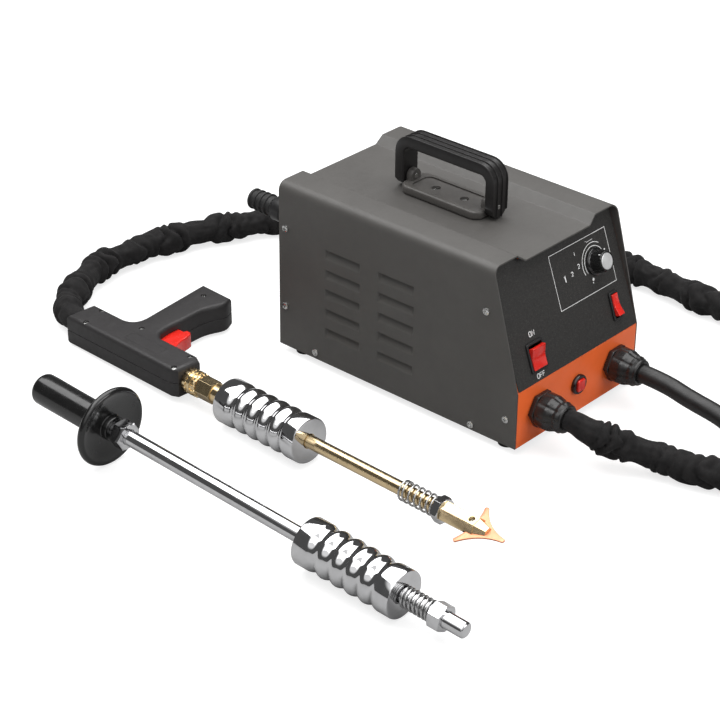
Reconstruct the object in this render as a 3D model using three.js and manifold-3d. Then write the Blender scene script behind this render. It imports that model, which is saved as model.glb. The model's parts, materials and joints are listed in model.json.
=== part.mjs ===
// Body repair spot welder: power unit, welding gun, slide hammer and earth lead.
// Millimetres, +Z up. +Y runs from the front of the power unit to its back, and z = 0 is the floor.

import * as THREE from 'three';
import { mergeVertices } from 'three/addons/utils/BufferGeometryUtils.js';
import { ConvexGeometry } from 'three/addons/geometries/ConvexGeometry.js';
import Module from 'manifold-3d';

const wasm = await Module();
wasm.setup();

const degree = Math.PI / 180;
const clearance = 0.3;
const overrun = 6;
const roundSteps = 24;
const smallSteps = 14;
const cornerSteps = 3;

// Cabinet
const cabinetWidth = 200;
const cabinetLength = 322.5;
const frontHeight = 63;
const roofHeight = 183;
const shoulderRise = 8;
const shoulderHeight = roofHeight + shoulderRise;
const shoulderHalf = 63;
const roofHalf = 52;
const edgeRadius = 10;
const sheet = 1.5;
const flange = 14;
const coverSlant = 15.7 * degree;
const fasciaSlant = 20.3 * degree;
const overlay = 0.6;
const rearInset = 1.2;

// Louvres, pressed in along their top edge
const louvreLength = 49;
const louvreHeight = 11;
const louvreDepth = 5;
const louvreTaper = 4;
const louvrePitch = 23;
const louvreRows = 5;
const louvreTop = 134.5;
const louvreColumnShares = [0.496, 0.7225];

// Feet
const footHeight = 8;
const footRadius = 11;
const footTaper = 1.5;
const footInset = 16;
const footEnd = 22;

// Folding handle
const handleOuterLength = 131;
const handleCentreShare = 0.54;
const handleRise = 60.5;
const handleWidth = 24;
const handleBar = 13;
const handleLeg = 11.5;
const handleRadius = 20;
const handleInnerRadius = 6.5;
const handleRib = 1.4;
const handleRibs = 4;
const handleHingeRise = 13.5;
const handlePinRadius = 2.5;
const handleBaseHalf = 21.5;
const handleBaseRise = 9.5;
const handleBaseRadius = 12;
const handleLug = 7.5;
const handleScrewRadius = 5;
const handleScrewDepth = 4;
const handleScrewSpacing = 38;

// Fascia fittings: inset from the nearer side of the cabinet, s up the slope from the fold
const knobPlace = { inset: 43.1, s: 83.8 };
const knobSkirtRadius = 14.5;
const knobSkirt = 3;
const knobRadius = 12.7;
const knobTipRadius = 10.4;
const knobHeight = 17.2;
const knobCapRadius = 8.6;
const knobCapHeight = 1.4;
const knobFlutes = 18;
const knobFluteDepth = 0.5;
const knobFluteRadius = 1;
const shaftRadius = 3;
const bushingRadius = 4.5;
const potentiometerRadius = 12;
const potentiometerDepth = 10;
const mainSwitch = { side: -1, inset: 38.9, s: 26.9, width: 25.5, height: 31, turn: 1 };
const modeSwitch = { side: 1, inset: 29.1, s: 30.8, width: 14.5, height: 31, turn: -1 };
const bezel = 2;
const bezelLip = 1.6;
const switchDepth = 22;
const pocketDepth = 11.5;
const rockerTilt = 10 * degree;
const rockerRise = 3.5;
const rockerPivot = -1.5;
const rockerBelly = 4.8;
const blade = { width: 6, thick: 0.9, length: 8, pitch: 9 };

// Push button on the front panel
const buttonHeight = 33.6;
const buttonBezelRadius = 10.8;
const buttonBezel = 4;
const buttonBarrelRadius = 9.4;
const buttonBarrel = 20;
const buttonCap = { width: 12, height: 13, radius: 2.5, length: 16 };
const buttonProud = 2;
const buttonTravel = 3;
const buttonSide = 0.5;

// Front cable glands
const glandInset = 37.7;
const glandHeight = 33;
const glandFlat = 35;
const glandFlange = 6.5;
const glandNut = 38;
const glandLength = 36;
const torchGland = { side: -1, mouth: 27, seal: 21 };
const earthGland = { side: 1, mouth: 25, seal: 20 };
const glandThread = 14.5;
const glandTail = 12;
const glandShoulder = 14;
const glandFingers = 8;
const fingerDepth = 1.6;

// Mains gland and strain relief at the back
const mainsInset = 25;
const mainsHeight = 143.4;
const mainsBodyRadius = 13.3;
const mainsBodyLength = 30;
const mainsThreadRadius = 9;
const reliefLength = 62;
const reliefRootRadius = 10.6;
const reliefTipRadius = 9.6;
const reliefRib = 1.8;
const reliefRibs = 4;
const reliefBore = 5;

// Inside the cabinet
const core = { placeShare: 0.657, width: 100, height: 84, depth: 62, leg: 34, yoke: 16 };
const coilWall = 15;
const coilGap = 2;
const boardPlaceShares = [-0.19, 0.298];
const boardSizeShares = [0.46, 0.26];
const board = { thick: 1.6, spacer: 8, spacerRadius: 3 };
const sinkPlaceShares = [0.26, 0.3225];
const sinkSizeShares = [0.28, 0.217];
const sink = { base: 5, fin: 2, fins: 7, height: 34 };

// Sliding weights: end bands with waves turned between them
const weightRadius = 24.3;
const weightBand = 15.8;
const weightWave = 2.6;
const weightWaves = 5;
const waveSteps = 5;
const weightChamfer = 1.5;

// Springs
const springSteps = 8;
const springSides = 5;

// Slide hammer, with distances from the end of its grip
const hammerX = -379;
const hammerEnd = 391;
const gripLength = 102;
const gripRadius = 16.5;
const gripDome = 9;
const guardRadius = 42;
const guardRise = 9;
const guardEdge = 4;
const lockNutStart = 118;
const lockNutLength = 13;
const lockNutFlat = 26;
const hammerRodRadius = 8;
const hammerLength = 559.5;
const hammerWeightStart = 370.5;
const hammerWeightLength = 117;
const hammerSpring = { name: 'hammer spring', radius: 12.4, wire: 1.4, length: 35, coils: 5 };
const hammerNutLength = 14;
const hammerNutFlat = 24;
const rodChamfer = 1.5;

// Welding gun, with distances from its rear end
const gunX = -228.3;
const gunEnd = 497;
const gunYaw = -3.42 * degree;
const gunRoll = 0.5 * degree;
const gunLength = 178;
const gunWidth = 38.4;
const gunThick = 35;
const gunEdge = 5;
const gunNose = 9;
const gunWall = 2.6;
const gunSplit = 0.3;
const gripReach = 134.5;
const gripLean = 9.8 * degree;
const gripRear = 67;
const gripNeck = 40;
const gripHeel = 51;
const gripShares = [
  [0.99, 0.93], [0.9, 1], [0.84, 0.955], [0.78, 0.87], [0.7, 0.79], [0.6, 0.755], [0.48, 0.735],
  [0.32, 0.68], [0.2, 0.7],
];
const neckFillet = 20;
const chuckStubRadius = 9;
const chuckStub = 24;
const chuckNutRadius = 13.5;
const chuckNutLength = 20;
const chuckHexFlat = 22;
const chuckHexLength = 22;
const chuckCollarRadius = 10;
const chuckLength = 62;
const chuckFlutes = 6;
const chuckGroove = 1.8;
const gunRodRadius = 7;
const gunRodSeat = 20;
const gunWeightLength = 117;
const gunSpring = { name: 'gun spring', radius: 10.8, wire: 1.1, length: 46, coils: 5 };
const gunSpringStart = 487.5;
const stopNutLength = 8.8;
const stopNutFlat = 24;
const holderLength = 41.5;
const holderFlat = 19;
const noseLength = 12;
const noseRadius = 5.5;
const holderSlot = 30;
const starRadius = 28;
const starWaist = 10.5;
const starThick = 2;
const starTip = 4.2;
const starPlace = 588;
const starTilt = -18 * degree;
const clampScrewRadius = 3;
const clampScrewLength = 5;

// Trigger, sliding along the gun
const triggerHalf = 8;
const triggerTravel = 5;
const triggerGap = 0.5;
const triggerBack = 86;
const triggerFront = 130;
const triggerReach = 60;
const triggerHeel = 104;
const triggerShares = [
  [0, 1], [0.14, 0.84], [0.34, 0.66], [0.56, 0.53], [0.78, 0.46], [0.93, 0.38], [1, 0.24], [1, 0.08],
  [0.96, 0],
];
const triggerNeck = 110;
const triggerNeckRise = 12;
const slotInner = 23.5;
const slotOuter = 57;
const triggerSwitch = { from: 66.5, to: 73.5, inner: 28, outer: 50, half: 9 };
const triggerSpring = { name: 'trigger spring', radius: 4.2, wire: 0.5, length: 11.9, coils: 4 };
const triggerSpringPlace = 40;

// Cords: routes are points along the middle of the cord, chosen by hand. The first points of each leave
// its gland squarely. The earth lead's other points are counted back from the start of its coil.
const cordLead = 9.4;
const torchRadius = 16.5;
const torchSides = 10;
const torchSteps = 42;
const torchRoute = [
  [-62, -58, 38.5], [-57.5, -72, 34.5], [-50, -85, 29.5], [-41.5, -99, 25], [-34, -113, 21.5],
  [-28.5, -128, 19], [-25, -143, 17.8], [-21.5, -158, 17.4], [-15, -175, 17.4], [-6, -192, 17.2],
  [3, -215, 17.1], [10, -245, 17.1], [20, -284, 17.1], [40, -324, 17.1], [76, -356, 17.1],
  [120, -374, 17.1], [168, -381, 17.1], [218, -374, 17.1], [262, -352, 17.1], [297, -318, 17.1],
  [318, -276, 17.1], [325, -230, 17.1], [320, -180, 17.1], [310, -130, 17.1], [300, -85, 17.1],
  [286, -40, 17.1], [277.5, 5, 17.1], [277, 40, 17.1], [280, 74, 17.1], [282, 105, 17.1], [282, 136, 17.1],
  [283, 170, 17.1], [281, 240, 17.1], [262, 320, 17.1], [225, 390, 17.1], [175, 450, 17.1], [128, 492, 17.1],
  [81.3, 528.7, 17.1], [59, 538.5, 17.1], [40, 551, 17.1], [22, 558.5, 17.1], [-5.5, 568.6, 17.1],
  [-41.7, 578.8, 17.1], [-78, 583, 17.1], [-115.7, 584, 17.1], [-141, 577.5, 17.1], [-168, 566, 17.1],
  [-195.4, 550.7, 17.1], [-213, 535.9, 17.2], [-224.4, 516.1, 17.4], [-228.06, 501.5, 17.5],
  [-228.3, 497.5, 17.6],
];
const earthDiameter = 19.7;
const earthSides = 10;
const earthSteps = 14;
const earthRoute = [
  [3.5, 139.5, 28.1], [4, 119.5, 23.9], [4, 104.5, 21.6], [4, 88.5, 19.5], [4.5, 77.5, 17.1],
  [4.3, 59.5, 11.6], [3, 41.5, 5.6], [1, 25.5, 1.6], [0, 13, 0.1], [0, 5, 0], [0, 0, 0],
];
const coilCentre = { x: 173, y: -229.5 };
const coilRadius = 113;
const coilPitch = 20.8;
const coilTurns = 2;
const coilSteps = 24;
const coilSides = 6;
const coilHeight = 10.4;
const coilClimb = 20.7;
const coilClimbStart = 1;
const coilClimbEnd = 1.5;
const lugBarrelRadius = 9.6;
const lugBarrelLength = 24;
const lugPlateRadius = 12;
const lugPlateLength = 22;
const lugPlateThick = 3;
const lugHoleRadius = 5.3;

const finishes = {
  darkPaint: { color: 0x4a4848, roughness: 0.55, metalness: 0.1 },
  orangePaint: { color: 0xe2572a, roughness: 0.5, metalness: 0.1 },
  fasciaPrint: { color: 0x35332f, roughness: 0.7, metalness: 0 },
  blackPlastic: { color: 0x1d1c1d, roughness: 0.5, metalness: 0 },
  gunPlastic: { color: 0x2b2a2c, roughness: 0.6, metalness: 0 },
  glossBlack: { color: 0x141414, roughness: 0.25, metalness: 0 },
  redPlastic: { color: 0xd8201c, roughness: 0.3, metalness: 0 },
  rubber: { color: 0x181818, roughness: 0.85, metalness: 0 },
  chrome: { color: 0xd9dadc, roughness: 0.12, metalness: 1 },
  steel: { color: 0xb4b4b2, roughness: 0.35, metalness: 1 },
  brass: { color: 0xc79a4b, roughness: 0.28, metalness: 1 },
  copper: { color: 0xe0906c, roughness: 0.35, metalness: 1 },
  silicon: { color: 0x6f7074, roughness: 0.6, metalness: 0.6 },
  winding: { color: 0xa5552b, roughness: 0.5, metalness: 0.4 },
  boardGreen: { color: 0x1f5a36, roughness: 0.6, metalness: 0 },
  sleeve: { color: 0x262325, roughness: 0.9, metalness: 0 },
};

// Closed meshes, and cutting and joining them

function weld(geometry) {
  const bare = geometry.clone();
  bare.deleteAttribute('normal');
  bare.deleteAttribute('uv');
  const merged = mergeVertices(bare);
  const corners = merged.index.array;
  const kept = [];
  for (let i = 0; i < corners.length; i += 3) {
    const [a, b, c] = corners.slice(i, i + 3);
    if (a !== b && b !== c && c !== a) kept.push(a, b, c);
  }
  merged.setIndex(kept);
  return merged;
}

function toSolid(geometry) {
  const merged = weld(geometry);
  const body = new wasm.Mesh({
    numProp: 3,
    vertProperties: new Float32Array(merged.attributes.position.array),
    triVerts: new Uint32Array(merged.index.array),
  });
  return new wasm.Manifold(body);
}

function toGeometry(solid) {
  const mesh = solid.getMesh();
  const geometry = new THREE.BufferGeometry();
  geometry.setAttribute('position', new THREE.BufferAttribute(mesh.vertProperties, 3));
  geometry.setIndex(new THREE.BufferAttribute(mesh.triVerts, 1));
  return geometry;
}

const joined = (base, ...others) =>
  toGeometry(others.reduce((body, other) => body.add(toSolid(other)), toSolid(base)));

const cut = (base, ...tools) =>
  toGeometry(tools.reduce((body, tool) => body.subtract(toSolid(tool)), toSolid(base)));

const common = (base, other) => toGeometry(toSolid(base).intersect(toSolid(other)));

// Outlines

const at = (x, y) => new THREE.Vector2(x, y);

function arc(x, y, radius, from, to, steps) {
  return Array.from({ length: steps + 1 }, (_, i) => {
    const angle = from + (to - from) * i / steps;
    return at(x + radius * Math.cos(angle), y + radius * Math.sin(angle));
  });
}

const circle = (radius, steps = roundSteps, x = 0, y = 0) =>
  arc(x, y, radius, 0, 2 * Math.PI, steps).slice(0, steps);

const hexagon = (flat) => circle(flat / Math.sqrt(3), 6);

function rectangle(width, height, x = 0, y = 0) {
  const [w, h] = [width / 2, height / 2];
  return [at(x + w, y - h), at(x + w, y + h), at(x - w, y + h), at(x - w, y - h)];
}

function rounded(width, height, radius) {
  const [w, h] = [width / 2 - radius, height / 2 - radius];
  const centres = [[w, -h], [w, h], [-w, h], [-w, -h]];
  return centres.flatMap(([x, y], i) =>
    arc(x, y, radius, (i - 1) * Math.PI / 2, i * Math.PI / 2, cornerSteps));
}

// Prisms along each axis, and solids of revolution round Z

function alongZ(points, from, to, holes = []) {
  const shape = new THREE.Shape(points);
  shape.holes = holes.map((hole) => new THREE.Path(hole));
  const geometry = new THREE.ExtrudeGeometry(shape, { depth: to - from, bevelEnabled: false });
  return geometry.translate(0, 0, from);
}

// Points are (x, z).
const alongY = (points, from, to, holes) => alongZ(points, -to, -from, holes).rotateX(Math.PI / 2);

// Points are (y, z).
const alongX = (points, from, to, holes) => {
  const [x, y, z] = [new THREE.Vector3(1, 0, 0), new THREE.Vector3(0, 1, 0), new THREE.Vector3(0, 0, 1)];
  return alongZ(points, from, to, holes).applyMatrix4(new THREE.Matrix4().makeBasis(y, z, x));
};

// Points are (radius, height). A profile that doesn't start on the axis closes on itself.
function revolve(points, steps = roundSteps) {
  const open = points[0].x > 0;
  const profile = open ? [...points, points[0]] : points;
  return new THREE.LatheGeometry(profile, steps).rotateX(Math.PI / 2);
}

// A revolved piece lying along Y, its profile heights counted forward from the group's origin.
const turned = (points, steps) => revolve(points, steps).rotateX(Math.PI / 2);

function hexBar(flat, from, to, bore, steps = roundSteps) {
  return alongZ(hexagon(flat), from, to, bore ? [circle(bore, steps)] : []).rotateX(Math.PI / 2);
}

// A coil spring as one unbroken tube round Z, with its end coils closed up.
function springGeometry({ name, radius, wire, length, coils }) {
  const turns = coils + 2;
  const steps = turns * springSteps;
  const pitchClosed = 2 * wire + clearance * 2;
  const rise = length - 2 * wire - 2 * pitchClosed;
  const heightAt = (turn) => {
    const low = Math.min(turn, 1) * pitchClosed;
    const high = Math.max(turn - turns + 1, 0) * pitchClosed;
    return wire + low + high + rise * THREE.MathUtils.clamp((turn - 1) / coils, 0, 1);
  };
  const middle = radius - wire;
  const centre = (turn) => new THREE.Vector3(
    middle * Math.cos(2 * Math.PI * turn),
    middle * Math.sin(2 * Math.PI * turn),
    heightAt(turn),
  );
  const centres = Array.from({ length: steps + 1 }, (_, i) => centre(i / springSteps));
  const outward = centres.map((p) => new THREE.Vector3(p.x, p.y, 0).normalize());
  return tubeOf(centres, outward, wire, springSides, springSteps, name);
}

// One closed tube round a list of centres. Each ring starts at the given side direction.
function tubeOf(centres, sides, radius, sideCount, stepsPerTurn, name) {
  const last = centres.length - 1;
  const positions = [];
  const corners = [];
  centres.forEach((centre, i) => {
    const ahead = centres[Math.min(i + 1, last)].clone().sub(centres[Math.max(i - 1, 0)]).normalize();
    const side = sides[i].clone().addScaledVector(ahead, -sides[i].dot(ahead)).normalize();
    const third = new THREE.Vector3().crossVectors(ahead, side);
    for (let k = 0; k < sideCount; k += 1) {
      const angle = 2 * Math.PI * k / sideCount;
      const p = centre.clone();
      p.addScaledVector(side, radius * Math.cos(angle)).addScaledVector(third, radius * Math.sin(angle));
      positions.push(p.x, p.y, p.z);
    }
  });
  for (let i = 0; i < last; i += 1) {
    for (let k = 0; k < sideCount; k += 1) {
      const [a, b] = [i * sideCount + k, i * sideCount + (k + 1) % sideCount];
      corners.push(a, b, b + sideCount, a, b + sideCount, a + sideCount);
    }
  }
  const end = last * sideCount;
  for (let k = 1; k < sideCount - 1; k += 1) {
    corners.push(0, k + 1, k, end, end + k, end + k + 1);
  }
  const geometry = new THREE.BufferGeometry();
  geometry.setAttribute('position', new THREE.Float32BufferAttribute(positions, 3));
  geometry.setIndex(corners);
  console.log(`${name}: least gap to itself ${leastGap(centres, radius, stepsPerTurn).toFixed(2)} mm`);
  return geometry;
}

// The least distance between stretches more than half a turn apart, less one tube diameter.
function leastGap(centres, radius, stepsPerTurn) {
  let least = Infinity;
  for (let i = 0; i < centres.length; i += 1) {
    for (let j = i + Math.ceil(stepsPerTurn / 2); j < centres.length - 1; j += 1) {
      const stretch = new THREE.Line3(centres[j], centres[j + 1]);
      const nearest = stretch.closestPointToPoint(centres[i], true, new THREE.Vector3());
      least = Math.min(least, nearest.distanceTo(centres[i]));
    }
  }
  return least - 2 * radius;
}

// Placing pieces

function addPart(parent, name, geometry, finish) {
  geometry.computeVertexNormals();
  const mesh = new THREE.Mesh(geometry, new THREE.MeshStandardMaterial(finishes[finish]));
  mesh.name = name;
  parent.add(mesh);
  return mesh;
}

// Cabinet panels

// The cover's section, moved inward by an inset, from its lower right corner round to its lower left.
function coverSection(inset, bottom = 0) {
  const side = cabinetWidth / 2 - inset;
  const top = shoulderHeight - inset;
  const radius = edgeRadius - inset;
  const step = Math.atan2(shoulderHeight - roofHeight, shoulderHalf - roofHalf);
  const mitre = inset * Math.tan(step / 2);
  const right = [
    at(side, bottom),
    ...arc(side - radius, top - radius, radius, 0, Math.PI / 2, cornerSteps),
    at(shoulderHalf + mitre, top),
    at(roofHalf + mitre, roofHeight - inset),
  ];
  return [...right, ...right.map((p) => at(-p.x, p.y)).reverse()];
}

function louvreTool(side, y, top) {
  const outside = cabinetWidth / 2;
  const half = louvreLength / 2;
  const corners = [
    [outside + overrun, half, top], [outside + overrun, half, top - louvreHeight],
    [outside, half, top], [outside, half, top - louvreHeight],
    [outside - louvreDepth, half - louvreTaper, top],
  ];
  return wedge(corners, side, y);
}

function louvreLip(side, y, top) {
  const inside = cabinetWidth / 2 - sheet / 2;
  const half = louvreLength / 2 + sheet;
  const low = top - louvreHeight - sheet;
  const corners = [
    [inside, half, top], [inside, half, low], [inside - sheet, half, low],
    [cabinetWidth / 2 - louvreDepth - sheet, half - louvreTaper, top],
  ];
  return wedge(corners, side, y);
}

const wedge = (corners, side, y) => new ConvexGeometry(
  corners.flatMap(([x, half, z]) => [1, -1].map((end) => new THREE.Vector3(side * x, y + end * half, z))),
);

function buildCover(cabinet) {
  const section = [...coverSection(0), ...coverSection(sheet).reverse()];
  const high = shoulderHeight + overrun;
  const back = (high - frontHeight) * Math.tan(coverSlant);
  const front = [at(0, frontHeight), at(back, high), at(-overrun, high), at(-overrun, frontHeight)];
  const places = [1, -1].flatMap((side) => louvreColumnShares.flatMap((share) =>
    Array.from({ length: louvreRows }, (_, row) =>
      [side, share * cabinetLength, louvreTop - row * louvrePitch])));
  const folded = cut(alongY(section, 0, cabinetLength), alongX(front, -cabinetWidth, cabinetWidth));
  const pressed = joined(folded, ...places.map((place) => louvreLip(...place)));
  addPart(cabinet, 'cover', cut(pressed, ...places.map((place) => louvreTool(...place))), 'darkPaint');
}

// A point on the fascia's slope, at a distance up it and a depth behind its face, as (y, z).
const slope = (up, depth) => at(
  up * Math.sin(fasciaSlant) + depth * Math.cos(fasciaSlant),
  frontHeight + up * Math.cos(fasciaSlant) - depth * Math.sin(fasciaSlant),
);

const slopeLength = (shoulderHeight + overrun - frontHeight) / Math.cos(fasciaSlant);
const faceSeat = clearance + overlay + clearance;

const onFascia = (geometry) => geometry.rotateX(Math.PI / 2 - fasciaSlant).translate(0, 0, frontHeight);
const onFront = (geometry) => geometry.rotateX(Math.PI / 2);

// The distance across of a fitting set in from one side of the cabinet
const across = (side, inset) => side * (cabinetWidth / 2 - inset);
const knobAcross = across(1, knobPlace.inset);

const switchHole = ({ side, inset, s, width, height }) => rectangle(
  width - 2 * bezelLip + 2 * clearance, height - 2 * bezelLip + 2 * clearance, across(side, inset), s);

const knobHole = () => circle(bushingRadius + clearance, smallSteps, knobAcross, knobPlace.s);

function buildFrontPanel(cabinet) {
  const half = cabinetWidth / 2 - sheet - clearance;
  const bentTo = (depth, low) => [at(0, low), at(depth, low),
    at(depth, frontHeight - depth * Math.tan(fasciaSlant / 2)), slope(slopeLength, depth),
    slope(slopeLength, 0), at(0, frontHeight)];
  const edge = bentTo(flange, sheet + clearance);
  const bent = joined(alongX(bentTo(sheet, 0), -half, half), alongX(edge, half - sheet, half),
    alongX(edge, -half, sheet - half));
  const inside = alongY(coverSection(sheet + clearance), -overrun, cabinetLength);
  const through = (points) => alongZ(points, -2 * overrun, overrun);
  const glandHole = ({ side }) => onFront(through(
    circle(glandThread + clearance, roundSteps, across(side, glandInset), glandHeight)));
  const button = onFront(through(circle(buttonBarrelRadius + clearance, roundSteps, 0, buttonHeight)));
  const openings = [switchHole(mainSwitch), switchHole(modeSwitch), knobHole()].map((points) =>
    onFascia(through(points)));
  const panel = cut(common(bent, inside), ...openings, glandHole(torchGland), glandHole(earthGland), button);
  addPart(cabinet, 'front_panel', panel, 'orangePaint');
}

function buildFascia(fascia) {
  const section = coverSection(sheet + 3 * clearance);
  const upper = section.slice(1, -1).map((p) => at(p.x, (p.y - frontHeight) / Math.cos(fasciaSlant)));
  const side = section[0].x;
  const outline = [at(side, sheet), ...upper, at(-side, sheet)];
  const holes = [switchHole(mainSwitch), switchHole(modeSwitch), knobHole()];
  addPart(fascia, 'fascia', alongZ(outline, clearance, clearance + overlay, holes), 'fasciaPrint');
}

function buildRearPanel(cabinet) {
  const back = cabinetLength - rearInset;
  const low = sheet + clearance;
  const half = cabinetWidth / 2 - sheet - clearance;
  const plate = alongY(coverSection(sheet + clearance, low), back - sheet, back);
  const top = shoulderHeight - edgeRadius;
  const edge = [at(back - flange, low), at(back, low), at(back, top), at(back - flange, top)];
  const folded = joined(plate, alongX(edge, half - sheet, half), alongX(edge, -half, sheet - half));
  const hole = circle(mainsThreadRadius + clearance, roundSteps, across(-1, mainsInset), mainsHeight);
  addPart(cabinet, 'rear_panel', cut(folded, alongY(hole, back - overrun, back + overrun)), 'darkPaint');
}

function buildFloorPan(cabinet) {
  const half = cabinetWidth / 2 - sheet - clearance;
  const [from, to] = [sheet + clearance, cabinetLength - rearInset - sheet - clearance];
  const floor = alongZ([at(half, from), at(half, to), at(-half, to), at(-half, from)], 0, sheet);
  const [front, back] = [flange + clearance, to + sheet - flange - clearance];
  const edge = [at(front, 0), at(back, 0), at(back, flange), at(front, flange)];
  const pan = joined(floor, alongX(edge, half - sheet, half), alongX(edge, -half, sheet - half));
  addPart(cabinet, 'floor_pan', pan, 'darkPaint');
}

function buildFeet(cabinet) {
  const profile = [at(0, -footHeight), at(footRadius - footTaper, -footHeight), at(footRadius, 0), at(0, 0)];
  for (const [end, y] of [['front', footEnd], ['rear', cabinetLength - footEnd]]) {
    for (const [side, x] of [['left', -1], ['right', 1]]) {
      const foot = addPart(cabinet, `foot_${end}_${side}`, revolve(profile), 'rubber');
      foot.position.set(x * (cabinetWidth / 2 - footInset), y, 0);
    }
  }
}

// Folding handle

const handleHinge = roofHeight + handleHingeRise;

const pinHole = (from, to, x = 0) =>
  alongY(circle(handlePinRadius + clearance, smallSteps, x, handleHinge), from, to);

function buildHandle(cabinet) {
  const centre = handleCentreShare * cabinetLength;
  const [baseTop, top] = [roofHeight + handleBaseRise, roofHeight + handleRise];
  const [front, rear] = [centre - handleOuterLength / 2, centre + handleOuterLength / 2];
  const [innerFront, innerRear] = [front + handleLeg, rear - handleLeg];
  const gap = clearance * 2;
  const bottom = roofHeight + clearance;
  const plate = rounded(2 * handleBaseHalf, innerRear - innerFront - 2 * gap, handleBaseRadius)
    .map((p) => at(p.x, p.y + centre));
  const lugShape = [...arc(0, handleHinge, handleLug, 0, Math.PI, 2 * cornerSteps),
    at(-handleLug, bottom), at(handleLug, bottom)];
  const lugs = [innerFront + gap, innerRear - gap - handleLug].map((y) =>
    alongY(lugShape, y, y + handleLug));
  const screws = [-1, 1].map((end) => alongZ(
    circle(handleScrewRadius, smallSteps, 0, centre + end * handleScrewSpacing / 2),
    baseTop - handleScrewDepth, baseTop + overrun));
  const base = joined(alongZ(plate, bottom, baseTop), ...lugs);
  addPart(cabinet, 'handle_base', cut(base, ...screws, pinHole(front, rear)), 'blackPlastic');

  const outline = (inset) => {
    const [y0, y1, high] = [front + inset, rear - inset, top - inset];
    const radius = handleRadius - inset;
    const low = handleHinge - handleWidth;
    return [at(y1, low), ...arc(y1 - radius, high - radius, radius, 0, Math.PI / 2, cornerSteps + 2),
      ...arc(y0 + radius, high - radius, radius, Math.PI / 2, Math.PI, cornerSteps + 2), at(y0, low)];
  };
  const opening = rounded(innerRear - innerFront, 2 * (top - handleBar - handleHinge), handleInnerRadius)
    .map((p) => at(p.x + centre, p.y + handleHinge));
  const half = handleWidth / 2;
  const pitch = (handleWidth - handleRib) / (handleRibs - 1);
  const ribs = Array.from({ length: handleRibs }, (_, i) => i * pitch - half).map((x) =>
    alongX(outline(0), x, x + handleRib));
  const arch = joined(alongX(outline(handleRib), -half, half), ...ribs);
  const side = [...arc(0, handleHinge, half, Math.PI, 2 * Math.PI, 2 * cornerSteps),
    at(half, top), at(-half, top)];
  const below = [at(innerRear, handleHinge - handleWidth - overrun), at(innerRear, handleHinge),
    at(innerFront, handleHinge), at(innerFront, handleHinge - handleWidth - overrun)];
  const ended = common(arch, alongY(side, front - overrun, rear + overrun));
  const bail = cut(ended, alongX(opening, -cabinetWidth, cabinetWidth),
    alongX(below, -cabinetWidth, cabinetWidth), pinHole(front - overrun, rear + overrun));
  addPart(cabinet, 'handle_grip', bail, 'blackPlastic');

  const pin = (from, to) => alongY(circle(handlePinRadius, smallSteps, 0, handleHinge), from, to);
  addPart(cabinet, 'handle_pin_front', pin(front + handleRib, innerFront + gap + handleLug), 'steel');
  addPart(cabinet, 'handle_pin_rear', pin(innerRear - gap - handleLug, rear - handleRib), 'steel');
}

// Fascia fittings

function buildKnob(fascia) {
  const group = new THREE.Group();
  group.position.set(knobAcross, knobPlace.s, 0);
  fascia.add(group);
  const low = faceSeat;
  const top = knobHeight;
  const recess = top - knobCapHeight;
  const bore = shaftRadius + clearance;
  const boreTop = recess - knobCapHeight * 2;
  const body = revolve([at(0, low), at(knobSkirtRadius, low),
    at(knobSkirtRadius, low + knobSkirt - clearance), at(knobRadius, low + knobSkirt),
    at(knobTipRadius, top), at(knobCapRadius + clearance, top), at(knobCapRadius + clearance, recess),
    at(0, recess)], 2 * knobFlutes);
  const ring = Array.from({ length: knobFlutes }, (_, i) => 2 * Math.PI * i / knobFlutes);
  const flutes = ring.map((angle) => alongZ(circle(knobFluteRadius, 6,
    (knobRadius + knobFluteDepth) * Math.cos(angle), (knobRadius + knobFluteDepth) * Math.sin(angle)),
  low + knobSkirt, top + overrun));
  const shank = alongZ(circle(bore, smallSteps), 0, boreTop);
  addPart(group, 'knob', cut(body, shank, ...flutes), 'glossBlack');
  addPart(group, 'knob_cap', revolve([at(0, recess + clearance), at(knobCapRadius, recess + clearance),
    at(knobCapRadius, top), at(0, top)]), 'chrome');

  const behind = -sheet - clearance;
  addPart(group, 'potentiometer', revolve([at(0, behind - potentiometerDepth),
    at(potentiometerRadius, behind - potentiometerDepth), at(potentiometerRadius, behind),
    at(bushingRadius, behind), at(bushingRadius, faceSeat - clearance), at(shaftRadius, faceSeat - clearance),
    at(shaftRadius, boreTop - clearance), at(0, boreTop - clearance)]), 'steel');
}

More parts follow.
